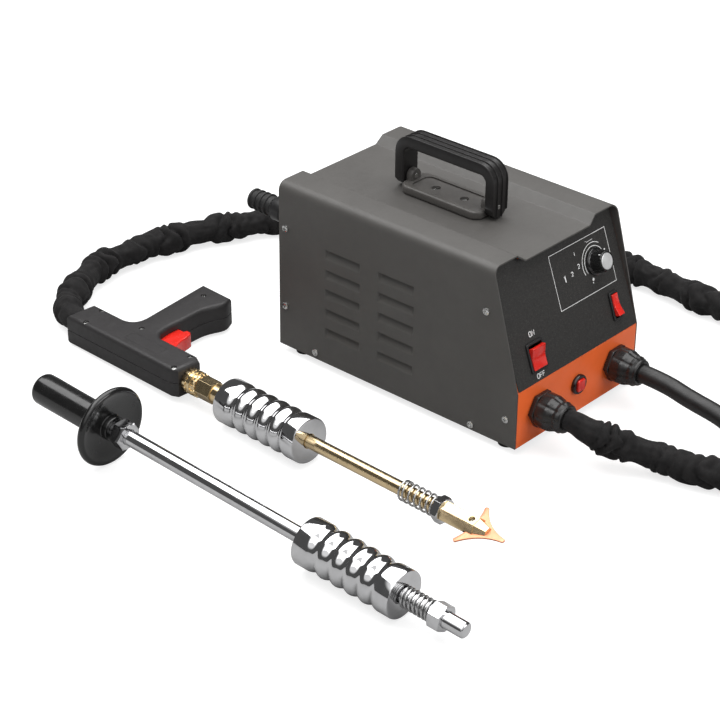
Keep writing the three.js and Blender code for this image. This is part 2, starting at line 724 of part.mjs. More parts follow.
function buildSwitch(fascia, name, { side, inset, s, width, height, turn }) {
  const group = new THREE.Group();
  group.position.set(across(side, inset), s, 0);
  fascia.add(group);
  const top = faceSeat + bezel;
  const [innerWidth, innerHeight] = [width - 2 * bezelLip, height - 2 * bezelLip];
  const bladeCentres = [-1, 0, 1].map((i) => i * blade.pitch);
  const blades = bladeCentres.map((y) => alongZ(rectangle(blade.width, blade.thick, 0, y),
    -switchDepth - blade.length, clearance - switchDepth));
  const shell = joined(alongZ(rounded(width, height, bezelLip), faceSeat, top),
    alongZ(rectangle(innerWidth, innerHeight), -switchDepth, faceSeat), ...blades);
  const [pocketWidth, pocketHeight] = [innerWidth - bezelLip, innerHeight - bezelLip];
  const pocket = alongZ(rectangle(pocketWidth, pocketHeight), top - pocketDepth, top + overrun);
  addPart(group, `${name}_housing`, cut(shell, pocket), 'blackPlastic');

  const reach = pocketHeight / 2 - 5 * clearance;
  const rise = reach * Math.tan(rockerTilt);
  const crown = top + rockerRise - rockerPivot - bezel;
  const profile = [at(0, crown), at(-reach, crown + rise), at(-reach, crown - bezel),
    at(-reach / 2, -rockerBelly), at(reach / 2, -rockerBelly), at(reach, crown - bezel),
    at(reach, crown + rise)];
  const half = pocketWidth / 2 - clearance;
  const rocker = addPart(group, `${name}_rocker`, alongX(profile, -half, half), 'redPlastic');
  rocker.position.z = rockerPivot;
  rocker.rotation.x = turn * rockerTilt;
}

function buildButton(front) {
  const group = new THREE.Group();
  group.position.set(0, buttonHeight, 0);
  front.add(group);
  const { width, height, radius, length } = buttonCap;
  const face = clearance + buttonBezel;
  const barrel = revolve([at(0, -buttonBarrel), at(buttonBarrelRadius, -buttonBarrel),
    at(buttonBarrelRadius, clearance), at(buttonBezelRadius, clearance),
    at(buttonBezelRadius, face - buttonSide), at(buttonBezelRadius - buttonSide, face), at(0, face)]);
  const out = face + buttonProud;
  const well = out - length - buttonTravel - clearance;
  const hole = alongZ(rounded(width + 2 * buttonSide, height + 2 * buttonSide, radius), well, face + overrun);
  addPart(group, 'button_bezel', cut(barrel, hole), 'glossBlack');
  addPart(group, 'button_cap', alongZ(rounded(width, height, radius), out - length, out), 'redPlastic');
}

function buildGland(front, name, { side, mouth, seal }) {
  const group = new THREE.Group();
  group.position.set(across(side, glandInset), glandHeight, 0);
  front.add(group);
  const shoulder = glandLength - glandShoulder;
  const sealRadius = seal / 2;
  const body = joined(alongZ(hexagon(glandFlat), clearance, glandFlange),
    alongZ(circle(glandThread), -glandTail, shoulder),
    alongZ(circle(sealRadius), 0, glandLength));
  addPart(group, `${name}_gland`, body, 'blackPlastic');

  const from = glandFlange + clearance;
  const bore = glandThread + clearance;
  const lip = sealRadius + clearance;
  const half = glandNut / 2;
  const outside = revolve([at(bore, from), at(half, from), at(half, shoulder),
    at((half + mouth / 2) / 2 + fingerDepth, glandLength - glandShoulder / 3),
    at(mouth / 2 + fingerDepth, glandLength), at(lip, glandLength), at(lip, shoulder + clearance),
    at(bore, shoulder + clearance)]);
  const hex = alongZ(hexagon(glandNut - fingerDepth), from, glandLength);
  const slots = Array.from({ length: glandFingers }, (_, i) => 2 * Math.PI * (i + 0.5) / glandFingers)
    .map((angle) => alongZ(rectangle(fingerDepth * 2, fingerDepth).map((p) => at(p.x + half, p.y)),
      from + glandShoulder, shoulder + overrun).rotateZ(angle));
  addPart(group, `${name}_gland_nut`, cut(common(outside, hex), ...slots), 'blackPlastic');
}

function buildMainsGland(cabinet) {
  const group = new THREE.Group();
  group.position.set(across(-1, mainsInset), cabinetLength - rearInset, mainsHeight);
  group.rotation.x = -Math.PI / 2;
  cabinet.add(group);
  const tail = -sheet - glandTail;
  const bore = reliefBore;
  addPart(group, 'mains_gland', revolve([at(bore, tail), at(mainsThreadRadius, tail),
    at(mainsThreadRadius, clearance), at(mainsBodyRadius, clearance),
    at(mainsBodyRadius, mainsBodyLength + reliefRootRadius - mainsBodyRadius),
    at(reliefRootRadius, mainsBodyLength), at(bore, mainsBodyLength)]), 'blackPlastic');

  const from = mainsBodyLength + clearance;
  const pitch = (reliefLength - reliefRib - from) / reliefRibs;
  const radiusAt = (height) => reliefRootRadius
    + (reliefTipRadius - reliefRootRadius) * (height - from) / (reliefLength - from);
  const ribs = Array.from({ length: reliefRibs }, (_, i) => from + pitch * (i + 1)).flatMap((height) => {
    const radius = radiusAt(height);
    return [at(radius, height - reliefRib), at(radius + reliefRib, height - reliefRib / 2),
      at(radius + reliefRib, height + reliefRib / 2), at(radius, height + reliefRib)];
  });
  addPart(group, 'strain_relief', revolve([at(bore, from), at(reliefRootRadius, from), ...ribs,
    at(reliefTipRadius, reliefLength), at(bore, reliefLength)]), 'rubber');
}

// Inside the cabinet

function buildTransformer(cabinet) {
  const group = new THREE.Group();
  group.position.set(0, core.placeShare * cabinetLength, sheet + clearance);
  cabinet.add(group);
  const middle = core.height / 2;
  const window = (core.width - core.leg - 2 * core.yoke) / 2;
  const opening = core.height - 2 * core.yoke;
  const half = core.depth / 2;
  const windows = [-1, 1].map((side) => alongY(
    rectangle(window, opening, side * (core.leg + window) / 2, middle), -half - overrun, half + overrun));
  const stack = alongY(rectangle(core.width, core.height, 0, middle), -half, half);
  addPart(group, 'transformer_core', cut(stack, ...windows), 'silicon');
  const wall = Math.min(coilWall, window - 2 * clearance);
  const ring = (grow) => rectangle(core.leg + 2 * grow, core.depth + 2 * grow);
  const coil = (from, to) => alongZ(ring(clearance + wall), from, to, [ring(clearance)]);
  const low = core.yoke + clearance;
  const high = core.height - core.yoke - clearance;
  addPart(group, 'primary_coil', coil(low, middle - coilGap / 2), 'winding');
  addPart(group, 'secondary_coil', coil(middle + coilGap / 2, high), 'copper');
}

// Shares of the cabinet's width and length as lengths
const ofCabinet = ([acrossShare, backShare]) => [acrossShare * cabinetWidth, backShare * cabinetLength];

function buildElectronics(cabinet) {
  const floor = sheet + clearance;
  const [width, length] = ofCabinet(boardSizeShares);
  const plate = alongZ(rectangle(width, length), floor + board.spacer, floor + board.spacer + board.thick);
  const spacers = [-1, 1].flatMap((i) => [-1, 1].map((j) => alongZ(circle(board.spacerRadius, smallSteps,
    i * (width / 2 - 2 * board.spacerRadius), j * (length / 2 - 2 * board.spacerRadius)),
  floor, floor + board.spacer + board.thick / 2)));
  const boardMesh = addPart(cabinet, 'control_board', joined(plate, ...spacers), 'boardGreen');
  boardMesh.position.set(...ofCabinet(boardPlaceShares), 0);

  const [sinkWidth, sinkLength] = ofCabinet(sinkSizeShares);
  const pitch = (sinkWidth - sink.fin) / (sink.fins - 1);
  const fins = Array.from({ length: sink.fins }, (_, i) => alongX(
    rectangle(sinkLength, sink.height, 0, floor + sink.height / 2),
    i * pitch - sinkWidth / 2, i * pitch - sinkWidth / 2 + sink.fin));
  const base = alongZ(rectangle(sinkWidth, sinkLength), floor, floor + sink.base);
  const sinkMesh = addPart(cabinet, 'thyristor_heat_sink', joined(base, ...fins), 'steel');
  sinkMesh.position.set(...ofCabinet(sinkPlaceShares), 0);
}

// Sliding weight: a band at each end and a turned wave between them, bored for its rod
function weightProfile(from, length, bore) {
  const start = from + weightBand;
  const span = length - 2 * weightBand;
  const steps = weightWaves * waveSteps;
  const waves = Array.from({ length: steps + 1 }, (_, i) => {
    const phase = 2 * Math.PI * weightWaves * i / steps;
    return at(weightRadius - weightWave * (1 - Math.cos(phase)) / 2, start + span * i / steps);
  });
  const edge = weightRadius - weightChamfer;
  return [at(bore, from), at(edge, from), at(weightRadius, from + weightChamfer), ...waves,
    at(weightRadius, from + length - weightChamfer), at(edge, from + length), at(bore, from + length)];
}

// Lowers a tool onto the floor
function restOnFloor(group) {
  group.updateMatrixWorld(true);
  group.position.z -= new THREE.Box3().setFromObject(group, true).min.z;
}

function buildHammer(kit) {
  const hammer = new THREE.Group();
  const guardPlace = gripLength + guardEdge / 2;
  const contact = hammerWeightStart + hammerWeightLength - guardPlace;
  hammer.position.set(hammerX, hammerEnd, guardRadius);
  hammer.rotation.x = Math.atan((guardRadius - weightRadius) / contact);
  kit.add(hammer);

  const dome = arc(0, gripDome, 1, -Math.PI / 2, 0, cornerSteps + 1)
    .map((p) => at(Math.max(p.x, 0) * gripRadius, gripDome + (p.y - gripDome) * gripDome));
  const rodSeat = gripLength / 2;
  const bore = hammerRodRadius + clearance;
  const rim = arc(guardRadius - guardEdge, guardPlace, guardEdge, -Math.PI / 2, Math.PI / 2, 2 * cornerSteps);
  const grip = [...dome, at(gripRadius, gripLength - guardEdge), ...rim,
    at(guardRadius - 2 * guardEdge, guardPlace), at(gripRadius, guardPlace),
    at(gripRadius, gripLength + guardRise), at(bore, gripLength + guardRise), at(bore, rodSeat),
    at(0, rodSeat)];
  addPart(hammer, 'hammer_grip', turned(grip, 2 * roundSteps), 'glossBlack');
  addPart(hammer, 'hammer_lock_nut', hexBar(lockNutFlat, lockNutStart, lockNutStart + lockNutLength, bore),
    'chrome');
  const tip = hammerRodRadius - rodChamfer;
  addPart(hammer, 'hammer_rod', turned([at(0, rodSeat + clearance), at(hammerRodRadius, rodSeat + clearance),
    at(hammerRodRadius, hammerLength - rodChamfer), at(tip, hammerLength), at(0, hammerLength)]), 'chrome');
  addPart(hammer, 'hammer_weight', turned(weightProfile(hammerWeightStart, hammerWeightLength, bore)),
    'chrome');
  const springFrom = hammerWeightStart + hammerWeightLength + clearance;
  const spring = addPart(hammer, 'hammer_spring', springGeometry(hammerSpring), 'steel');
  spring.rotation.x = Math.PI / 2;
  spring.position.y = -springFrom;
  const nutFrom = springFrom + hammerSpring.length + clearance;
  const endNut = hexBar(hammerNutFlat, nutFrom, nutFrom + hammerNutLength, bore).rotateY(Math.PI / 6);
  addPart(hammer, 'hammer_end_nut', endNut, 'chrome');
  restOnFloor(hammer);
}

// Welding gun. Outline points are (x towards the grip, distance forward from the rear end).

const gripRearAt = (x) => gripRear - (x - gunWidth / 2) * Math.tan(gripLean);

function gunOutline() {
  const half = gunWidth / 2;
  const root = at(half, gripRearAt(half));
  const bend = new THREE.QuadraticBezierCurve(at(half, root.y - neckFillet), root,
    at(half + neckFillet, gripRearAt(half + neckFillet)));
  const gripFront = gripShares.map(([along, across]) => at(along * gripReach,
    gripRearAt(along * gripReach) + across * gripHeel));
  const chamfer = gunNose / 2;
  return [at(-half, 0), at(half, 0), ...bend.getPoints(cornerSteps), at(gripReach, gripRearAt(gripReach)),
    ...gripFront, at(half, root.y + gripNeck + gunEdge), at(half, gunLength - gunNose),
    at(half - chamfer, gunLength), at(chamfer - half, gunLength), at(-half, gunLength - gunNose)];
}

// The gun's outline raised to a thickness, its edges rounded. An inset makes its cavity.
function gunBlank(inset) {
  const edge = gunEdge;
  const depth = gunThick - 2 * edge - 2 * inset;
  const blank = new THREE.ExtrudeGeometry(new THREE.Shape(gunOutline()), {
    depth, bevelSize: edge, bevelThickness: edge, bevelOffset: -edge - inset, bevelSegments: 2,
  });
  return blank.translate(0, 0, -depth / 2).scale(1, -1, 1);
}

const flipped = (geometry) => {
  const merged = weld(geometry);
  const corners = merged.index.array;
  for (let i = 0; i < corners.length; i += 3) {
    [corners[i], corners[i + 1]] = [corners[i + 1], corners[i]];
  }
  return merged;
};

const alongGun = (points, from, to) => alongY(points, -to, -from);

function buildGunShell(gun) {
  const shell = flipped(gunBlank(0));
  const cavity = flipped(gunBlank(gunWall));
  const slotRear = triggerTravel + triggerGap - triggerBack;
  const slot = alongZ([at(slotInner, -triggerFront), at(slotOuter, -triggerFront),
    at(slotOuter, slotRear), at(slotInner, slotRear)], -triggerHalf - triggerGap, triggerHalf + triggerGap);
  const nose = alongGun(circle(chuckStubRadius + clearance), gunLength - chuckStub, gunLength + overrun);
  const hollow = cut(shell, cavity, slot, nose);
  const reach = gripReach + gunLength;
  const above = alongZ(rectangle(2 * reach, 2 * reach), gunSplit / 2, gunThick);
  const below = alongZ(rectangle(2 * reach, 2 * reach), -gunThick, -gunSplit / 2);
  addPart(gun, 'gun_shell_upper', common(hollow, above), 'gunPlastic');
  addPart(gun, 'gun_shell_lower', common(hollow, below), 'gunPlastic');
}

function buildTrigger(gun) {
  const inner = gunWidth / 2 + triggerGap;
  const edge = triggerShares.map(([out, ahead]) => at(inner + triggerGap + out * (triggerReach - inner),
    -triggerHeel - ahead * (triggerFront - triggerHeel)));
  const side = [...edge, at(slotOuter - triggerGap, -triggerHeel),
    at(slotOuter - triggerGap, -triggerBack), at(slotInner + triggerGap, -triggerBack),
    at(slotInner + triggerGap, -triggerNeck), at(inner, -triggerNeck - triggerNeckRise)];
  addPart(gun, 'trigger', alongZ(side, -triggerHalf, triggerHalf), 'redPlastic');
  const { from, to, inner: low, outer: high, half } = triggerSwitch;
  const box = [at(low, -to), at(high, -to), at(high, -from), at(low, -from)];
  addPart(gun, 'trigger_switch', alongZ(box, -half, half), 'blackPlastic');
  const spring = addPart(gun, 'trigger_spring', springGeometry(triggerSpring), 'steel');
  spring.rotation.x = Math.PI / 2;
  spring.position.set(triggerSpringPlace, -to - clearance, 0);
}

function buildChuck(gun) {
  const start = gunLength + clearance;
  const nutEnd = start + chuckNutLength;
  const bore = gunRodRadius + clearance;
  const seat = gunLength - chuckStub;
  const body = turned([at(0, seat), at(chuckStubRadius, seat), at(chuckStubRadius, start),
    at(chuckNutRadius - chuckGroove, start), at(chuckNutRadius, start + chuckGroove),
    at(chuckNutRadius, nutEnd - chuckGroove), at(chuckNutRadius - chuckGroove, nutEnd),
    at(chuckCollarRadius, nutEnd), at(chuckCollarRadius, seat + chuckLength + chuckStub - chuckGroove),
    at(chuckCollarRadius - chuckGroove, start + chuckLength), at(0, start + chuckLength)]);
  const hex = hexBar(chuckHexFlat, nutEnd, nutEnd + chuckHexLength);
  const flutes = Array.from({ length: chuckFlutes }, (_, i) => 2 * Math.PI * i / chuckFlutes)
    .map((angle) => alongGun(circle(chuckGroove, 6, chuckNutRadius * Math.cos(angle),
      chuckNutRadius * Math.sin(angle)), start + chuckGroove, nutEnd - chuckGroove));
  const hole = alongGun(circle(bore), start + chuckLength - gunRodSeat, start + chuckLength + overrun);
  addPart(gun, 'electrode_chuck', cut(joined(body, hex), hole, ...flutes), 'brass');
  return start + chuckLength;
}

function starOutline() {
  const shape = new THREE.Shape();
  for (let i = 0; i < 3; i += 1) {
    const [tipAngle, waistAngle] = [i * 120 * degree, (i * 120 + 60) * degree];
    const across = at(-Math.sin(tipAngle), Math.cos(tipAngle)).multiplyScalar(starTip / 2);
    const tip = at(Math.cos(tipAngle), Math.sin(tipAngle)).multiplyScalar(starRadius);
    const next = at(Math.cos(tipAngle + 120 * degree), Math.sin(tipAngle + 120 * degree));
    const nextAcross = at(-next.y, next.x).multiplyScalar(starTip / 2);
    const nextTip = next.multiplyScalar(starRadius).sub(nextAcross);
    const waist = at(Math.cos(waistAngle), Math.sin(waistAngle)).multiplyScalar(starWaist);
    if (i === 0) shape.moveTo(tip.x - across.x, tip.y - across.y);
    shape.lineTo(tip.x + across.x, tip.y + across.y);
    shape.splineThru([waist, nextTip]);
  }
  return shape;
}

function buildTip(gun, from) {
  const bore = gunRodRadius + clearance;
  const springEnd = gunSpringStart + gunSpring.length;
  const nutFrom = springEnd + clearance;
  const holderFrom = nutFrom + stopNutLength + clearance;
  const holderEnd = holderFrom + holderLength;
  const rodEnd = holderFrom + holderLength / 2;
  addPart(gun, 'gun_rod', turned([at(0, from - gunRodSeat + clearance),
    at(gunRodRadius, from - gunRodSeat + clearance), at(gunRodRadius, rodEnd - clearance),
    at(0, rodEnd - clearance)]), 'brass');
  const weightFrom = from + clearance;
  addPart(gun, 'gun_weight', turned(weightProfile(weightFrom, gunWeightLength, bore)), 'chrome');
  const spring = addPart(gun, 'gun_spring', springGeometry(gunSpring), 'steel');
  spring.rotation.x = Math.PI / 2;
  spring.position.y = -gunSpringStart;
  addPart(gun, 'gun_stop_nut', hexBar(stopNutFlat, nutFrom, nutFrom + stopNutLength, bore), 'chrome');

  const tip = new THREE.Group();
  tip.rotation.y = starTilt;
  gun.add(tip);
  const cone = turned([at(0, holderEnd - clearance), at(holderFlat / 2, holderEnd - clearance),
    at(holderFlat / 2, holderEnd), at(noseRadius, holderEnd + noseLength), at(0, holderEnd + noseLength)]);
  const socket = alongGun(circle(bore), holderFrom - overrun, rodEnd);
  const slotFrom = starPlace - starRadius / 2 - clearance;
  const slotHalf = starThick / 2 + clearance;
  const slot = alongGun([at(-holderSlot, -slotHalf), at(holderSlot, -slotHalf), at(holderSlot, slotHalf),
    at(-holderSlot, slotHalf)], slotFrom, holderEnd + noseLength + overrun);
  const flatTop = holderFlat / 2;
  const screwPlace = holderEnd - noseLength / 2;
  const screwBottom = slotHalf + clearance;
  const screwHole = alongZ(circle(clampScrewRadius + clearance, smallSteps, 0, -screwPlace),
    slotHalf - clearance, flatTop + overrun);
  const bar = hexBar(holderFlat, holderFrom, holderEnd);
  addPart(tip, 'tip_holder', cut(joined(bar, cone), socket, slot, screwHole), 'brass');
  const screw = addPart(tip, 'clamp_screw', revolve([at(0, screwBottom), at(clampScrewRadius, screwBottom),
    at(clampScrewRadius, screwBottom + clampScrewLength), at(0, screwBottom + clampScrewLength)]), 'steel');
  screw.position.y = -screwPlace;
  const plate = new THREE.ExtrudeGeometry(starOutline(), { depth: starThick, bevelEnabled: false,
    curveSegments: 5 }).translate(0, 0, -starThick / 2).rotateZ(-Math.PI / 2);
  const star = addPart(tip, 'star_tip', plate, 'copper');
  star.position.y = -starPlace;
}

function buildGun(kit) {
  const gun = new THREE.Group();
  const weightPlace = gunLength + chuckLength;
  gun.rotation.order = 'ZXY';
  gun.rotation.set(-Math.atan((weightRadius - gunThick / 2) / weightPlace), gunRoll, gunYaw);
  gun.position.set(gunX, gunEnd, gunThick / 2);
  kit.add(gun);
  buildGunShell(gun);
  buildTrigger(gun);
  buildTip(gun, buildChuck(gun));
  restOnFloor(gun);
}

// Cords

function cordTube(route, radius, sides, steps) {
  const path = new THREE.CatmullRomCurve3(route.map((p) => new THREE.Vector3(...p)), false, 'centripetal');
  const section = new THREE.Shape(circle(radius, sides));
  console.log(`cord along ${route.length} points: ${path.getLength().toFixed(0)} mm`);
  return new THREE.ExtrudeGeometry(section, { steps, extrudePath: path });
}

// The first points of a cord, leaving its gland squarely
function leadFrom({ side }) {
  const [x, y, z] = [across(side, glandInset), -glandLength - 2 * clearance, footHeight + glandHeight];
  return [[x, y, z], [x, y - cordLead, z]];
}

function coilPoint(turn) {
  const turnBack = (coilClimbStart + coilClimbEnd) / 2;
  const inward = Math.min(turn, 2 * turnBack - turn);
  const radius = coilRadius - coilPitch * inward;
  const angle = Math.PI + 2 * Math.PI * turn;
  const climb = THREE.MathUtils.smoothstep(turn, coilClimbStart, coilClimbEnd) * coilClimb;
  return new THREE.Vector3(coilCentre.x + radius * Math.cos(angle), coilCentre.y + radius * Math.sin(angle),
    coilHeight + climb);
}

function buildEarthCoil(kit) {
  const steps = coilTurns * coilSteps;
  const loops = Array.from({ length: steps + 1 }, (_, i) => coilPoint(i / coilSteps));
  const forward = new THREE.Vector3(0, -earthDiameter, 0);
  const centres = [loops[0].clone().sub(forward), ...loops, loops[steps].clone().add(forward)];
  const up = centres.map(() => new THREE.Vector3(0, 0, 1));
  const radius = earthDiameter / 2;
  addPart(kit, 'earth_cable_coil', tubeOf(centres, up, radius, coilSides, coilSteps, 'earth lead coil'),
    'rubber');
  return [centres[0], centres[centres.length - 1]];
}

function buildEarthLug(kit, end) {
  const from = clearance;
  const barrelEnd = from + lugBarrelLength;
  const eye = barrelEnd + lugPlateLength;
  const barrel = turned([at(0, from), at(lugBarrelRadius, from), at(lugBarrelRadius, barrelEnd),
    at(0, barrelEnd)], roundSteps);
  const half = lugPlateThick / 2;
  const neck = lugBarrelRadius;
  const plate = alongZ([at(-neck, -barrelEnd + neck), at(-lugPlateRadius, -eye),
    ...arc(0, -eye, lugPlateRadius, Math.PI, 2 * Math.PI, 2 * cornerSteps), at(neck, -barrelEnd + neck)],
  -half, half);
  const hole = alongZ(circle(lugHoleRadius, smallSteps, 0, -eye), -overrun, overrun);
  const lug = addPart(kit, 'earth_lug', cut(joined(barrel, plate), hole), 'copper');
  lug.position.copy(end);
}

function buildCords(kit) {
  const torch = [...leadFrom(torchGland), ...torchRoute];
  addPart(kit, 'torch_cable', cordTube(torch, torchRadius, torchSides, torchSteps), 'sleeve');
  const [coilStart, coilEnd] = buildEarthCoil(kit);
  const { x, y, z } = coilStart;
  const approach = earthRoute.map((back) => [x + back[0], y + clearance + back[1], z + back[2]]);
  const earth = [...leadFrom(earthGland), ...approach];
  addPart(kit, 'earth_cable', cordTube(earth, earthDiameter / 2, earthSides, earthSteps), 'rubber');
  buildEarthLug(kit, coilEnd);
}

// The kit

const kit = new THREE.Group();

const cabinet = new THREE.Group();
cabinet.position.z = footHeight;
kit.add(cabinet);
buildCover(cabinet);
buildFrontPanel(cabinet);
buildRearPanel(cabinet);
buildFloorPan(cabinet);
buildFeet(cabinet);
buildHandle(cabinet);
buildMainsGland(cabinet);
buildTransformer(cabinet);
buildElectronics(cabinet);

const fascia = new THREE.Group();
fascia.position.z = frontHeight;
fascia.rotation.x = Math.PI / 2 - fasciaSlant;
cabinet.add(fascia);
buildFascia(fascia);
buildKnob(fascia);
buildSwitch(fascia, 'main_switch', mainSwitch);
buildSwitch(fascia, 'mode_switch', modeSwitch);

const front = new THREE.Group();
front.rotation.x = Math.PI / 2;
cabinet.add(front);
buildButton(front);
buildGland(front, 'torch', torchGland);
buildGland(front, 'earth', earthGland);

buildGun(kit);
buildHammer(kit);

// The origin is the middle of the kit's footprint, measured before the cords are laid.
kit.updateMatrixWorld(true);
const extent = new THREE.Box3().setFromObject(kit, true);
const middle = extent.getCenter(new THREE.Vector3());
buildCords(kit);
kit.position.set(-middle.x, -middle.y, 0);

const spotWelder = new THREE.Group();
spotWelder.add(kit);
kit.updateMatrixWorld(true);

export default spotWelder;
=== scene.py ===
"""Looks for the spot welder: power unit, welding gun, slide hammer and cords."""

import json
from math import atan, copysign, cos, pi, radians, sin, sqrt, tan

import bmesh
import bpy
from mathutils import Matrix, Vector, noise
from mathutils.geometry import tessellate_polygon


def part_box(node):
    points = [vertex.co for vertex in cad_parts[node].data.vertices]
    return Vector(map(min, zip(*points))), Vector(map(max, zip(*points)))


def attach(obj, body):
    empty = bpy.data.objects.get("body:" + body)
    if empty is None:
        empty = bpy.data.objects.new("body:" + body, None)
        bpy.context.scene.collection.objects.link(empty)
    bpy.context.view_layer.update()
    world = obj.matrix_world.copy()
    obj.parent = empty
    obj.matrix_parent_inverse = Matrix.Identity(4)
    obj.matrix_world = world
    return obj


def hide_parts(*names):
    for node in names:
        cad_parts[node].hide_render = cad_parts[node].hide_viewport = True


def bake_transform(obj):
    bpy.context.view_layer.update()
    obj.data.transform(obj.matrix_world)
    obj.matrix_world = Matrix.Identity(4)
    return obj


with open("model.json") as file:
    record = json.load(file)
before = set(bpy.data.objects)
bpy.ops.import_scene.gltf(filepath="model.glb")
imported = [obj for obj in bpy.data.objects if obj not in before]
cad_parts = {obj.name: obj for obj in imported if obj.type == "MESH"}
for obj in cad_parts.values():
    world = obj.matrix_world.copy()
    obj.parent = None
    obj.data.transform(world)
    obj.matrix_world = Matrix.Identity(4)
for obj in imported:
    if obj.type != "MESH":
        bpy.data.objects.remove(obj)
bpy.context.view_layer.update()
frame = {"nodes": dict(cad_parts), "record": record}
nodes = frame["nodes"]
scene = bpy.context.scene
MM = 0.001
CLEAR = 0.3  # the gap in millimetres between pieces that would touch

# Places. The power unit's own axes start at the bottom of its front edge.
COVER_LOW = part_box("cover")[0]
ORIGIN = Vector((COVER_LOW.x + 0.1, COVER_LOW.y, COVER_LOW.z))
FASCIA_SLANT = radians(20.3)
COVER_SLANT = radians(15.7)
FRONT_HEIGHT = 63


def move(x, y, z):
    return Matrix.Translation(Vector((x, y, z)) * MM)


def turn(degrees, axis):
    return Matrix.Rotation(radians(degrees), 4, axis)


CAB = Matrix.Translation(ORIGIN)
FLOOR_CAB = Matrix.Translation((ORIGIN.x, ORIGIN.y, 0))
FRONT = CAB @ turn(90, "X")
FASCIA = CAB @ move(0, 0, FRONT_HEIGHT) @ Matrix.Rotation(pi / 2 - FASCIA_SLANT, 4, "X")
# The gun and the hammer lie on the floor, each a little tilted between its rear part and its weight.
GUN_LENGTH, CHUCK_LENGTH, GUN_THICK, WEIGHT_R, WEIGHT_LENGTH = 178, 62, 35, 24.3, 117
GUN_PITCH = atan((WEIGHT_R - GUN_THICK / 2) / (GUN_LENGTH + CHUCK_LENGTH))
GUN = (FLOOR_CAB @ move(-228.3, 497, 17.4746) @ turn(-3.42, "Z")
       @ Matrix.Rotation(-GUN_PITCH, 4, "X") @ turn(0.5, "Y"))
GUARD_R, GUARD_PLACE, HAMMER_WEIGHT = 42, 104, 370.5
HAMMER_PITCH = atan((GUARD_R - WEIGHT_R) / (HAMMER_WEIGHT + WEIGHT_LENGTH - GUARD_PLACE))
HAMMER = FLOOR_CAB @ move(-379, 391, 46.7502) @ Matrix.Rotation(HAMMER_PITCH, 4, "X")
GUN_AXIS = GUN @ turn(90, "X")
HAMMER_AXIS = HAMMER @ turn(90, "X")
TIP = GUN @ turn(-18, "Y")
TIP_AXIS = TIP @ turn(90, "X")


# Camera, fitted to the photograph's edges: the frame and the focal length in pixels, the place from the
# power unit's front edge in millimetres, and the azimuth, elevation and roll in degrees
FRAME_WIDTH, FOCAL_LENGTH, SENSOR = 720, 2306.6, 36
CAMERA_PLACE, CAMERA_ANGLES = (-1662.08, -1179.62, 1219.09), (-48.40, 29.80, 0.548)


def make_camera():
    data = bpy.data.cameras.new("camera")
    data.sensor_width = SENSOR
    data.lens = FOCAL_LENGTH / FRAME_WIDTH * SENSOR
    data.clip_start, data.clip_end = 0.1, 30
    scene.camera = bpy.data.objects.new("camera", data)
    scene.collection.objects.link(scene.camera)
    azimuth, elevation, roll = CAMERA_ANGLES
    scene.camera.matrix_world = (CAB @ move(*CAMERA_PLACE) @ turn(azimuth, "Z")
                                 @ turn(90 - elevation, "X") @ turn(roll, "Z"))


make_camera()


# Mesh helpers. Sizes are in millimetres in a local frame, and a mesh is stored in the row frame.
def mark_sharp(bm, angle):
    """Smooth faces, with a sharp edge where two of them turn by more than the angle."""
    for face in bm.faces:
        face.smooth = True
    for edge in bm.edges:
        edge.smooth = not (len(edge.link_faces) == 2 and edge.calc_face_angle(0) > radians(angle))


def finish_mesh(name, bm, place, angle=32):
    bmesh.ops.remove_doubles(bm, verts=bm.verts, dist=1e-4)
    bmesh.ops.recalc_face_normals(bm, faces=bm.faces)
    mark_sharp(bm, angle)
    mesh = bpy.data.meshes.new(name)
    bm.to_mesh(mesh)
    bm.free()
    mesh.transform(place @ Matrix.Diagonal((MM, MM, MM, 1)))
    obj = bpy.data.objects.new(name, mesh)
    scene.collection.objects.link(obj)
    return obj


def apply_modifiers(obj, angle):
    depsgraph = bpy.context.evaluated_depsgraph_get()
    mesh = bpy.data.meshes.new_from_object(obj.evaluated_get(depsgraph))
    obj.modifiers.clear()
    old, obj.data = obj.data, mesh
    mesh.name = obj.name
    bpy.data.meshes.remove(old)
    bm = bmesh.new()
    bm.from_mesh(mesh)
    mark_sharp(bm, angle)
    bm.to_mesh(mesh)
    bm.free()


def boolean(obj, cutters, operation="DIFFERENCE", angle=32):
    """Cuts or joins with each of the cutters, which are used up."""
    for cutter in cutters:
        modifier = obj.modifiers.new("cut", "BOOLEAN")
        modifier.operation, modifier.solver, modifier.object = operation, "EXACT", cutter
    apply_modifiers(obj, angle)
    for cutter in cutters:
        old = cutter.data
        bpy.data.objects.remove(cutter)
        bpy.data.meshes.remove(old)
    return obj


def skin(bm, rings, caps=True):
    """Faces from ring to ring, and over both ends."""
    for one, two in zip(rings, rings[1:]):
        for k in range(len(one)):
            n = (k + 1) % len(one)
            bm.faces.new((one[k], one[n], two[n], two[k]))
    if caps:
        bm.faces.new(list(reversed(rings[0])))
        bm.faces.new(rings[-1])


def bend(start, corner, end, steps):
    """Points on a quadratic curve from start to end, drawn towards the corner."""
    return [tuple(start * (1 - t) ** 2 + corner * (2 * t * (1 - t)) + end * t * t)
            for t in (k / steps for k in range(steps + 1))]


def fillet(points, radius, steps=3, closed=True):
    """The outline with each corner rounded, as far as its sides allow."""
    out = []
    for i, point in enumerate(points):
        here, following = Vector(point), points[(i + 1) % len(points)]
        before, after = Vector(points[i - 1]) - here, Vector(following) - here
        end = not closed and i in (0, len(points) - 1)
        if not end and min(before.length, after.length) < 1e-6:
            continue
        if end or before.angle(after) > radians(176):
            out.append(tuple(here))
            continue
        reach = min(radius / tan(before.angle(after) / 2), before.length * 0.49, after.length * 0.49)
        out += bend(here + before.normalized() * reach, here, here + after.normalized() * reach, steps)
    return out


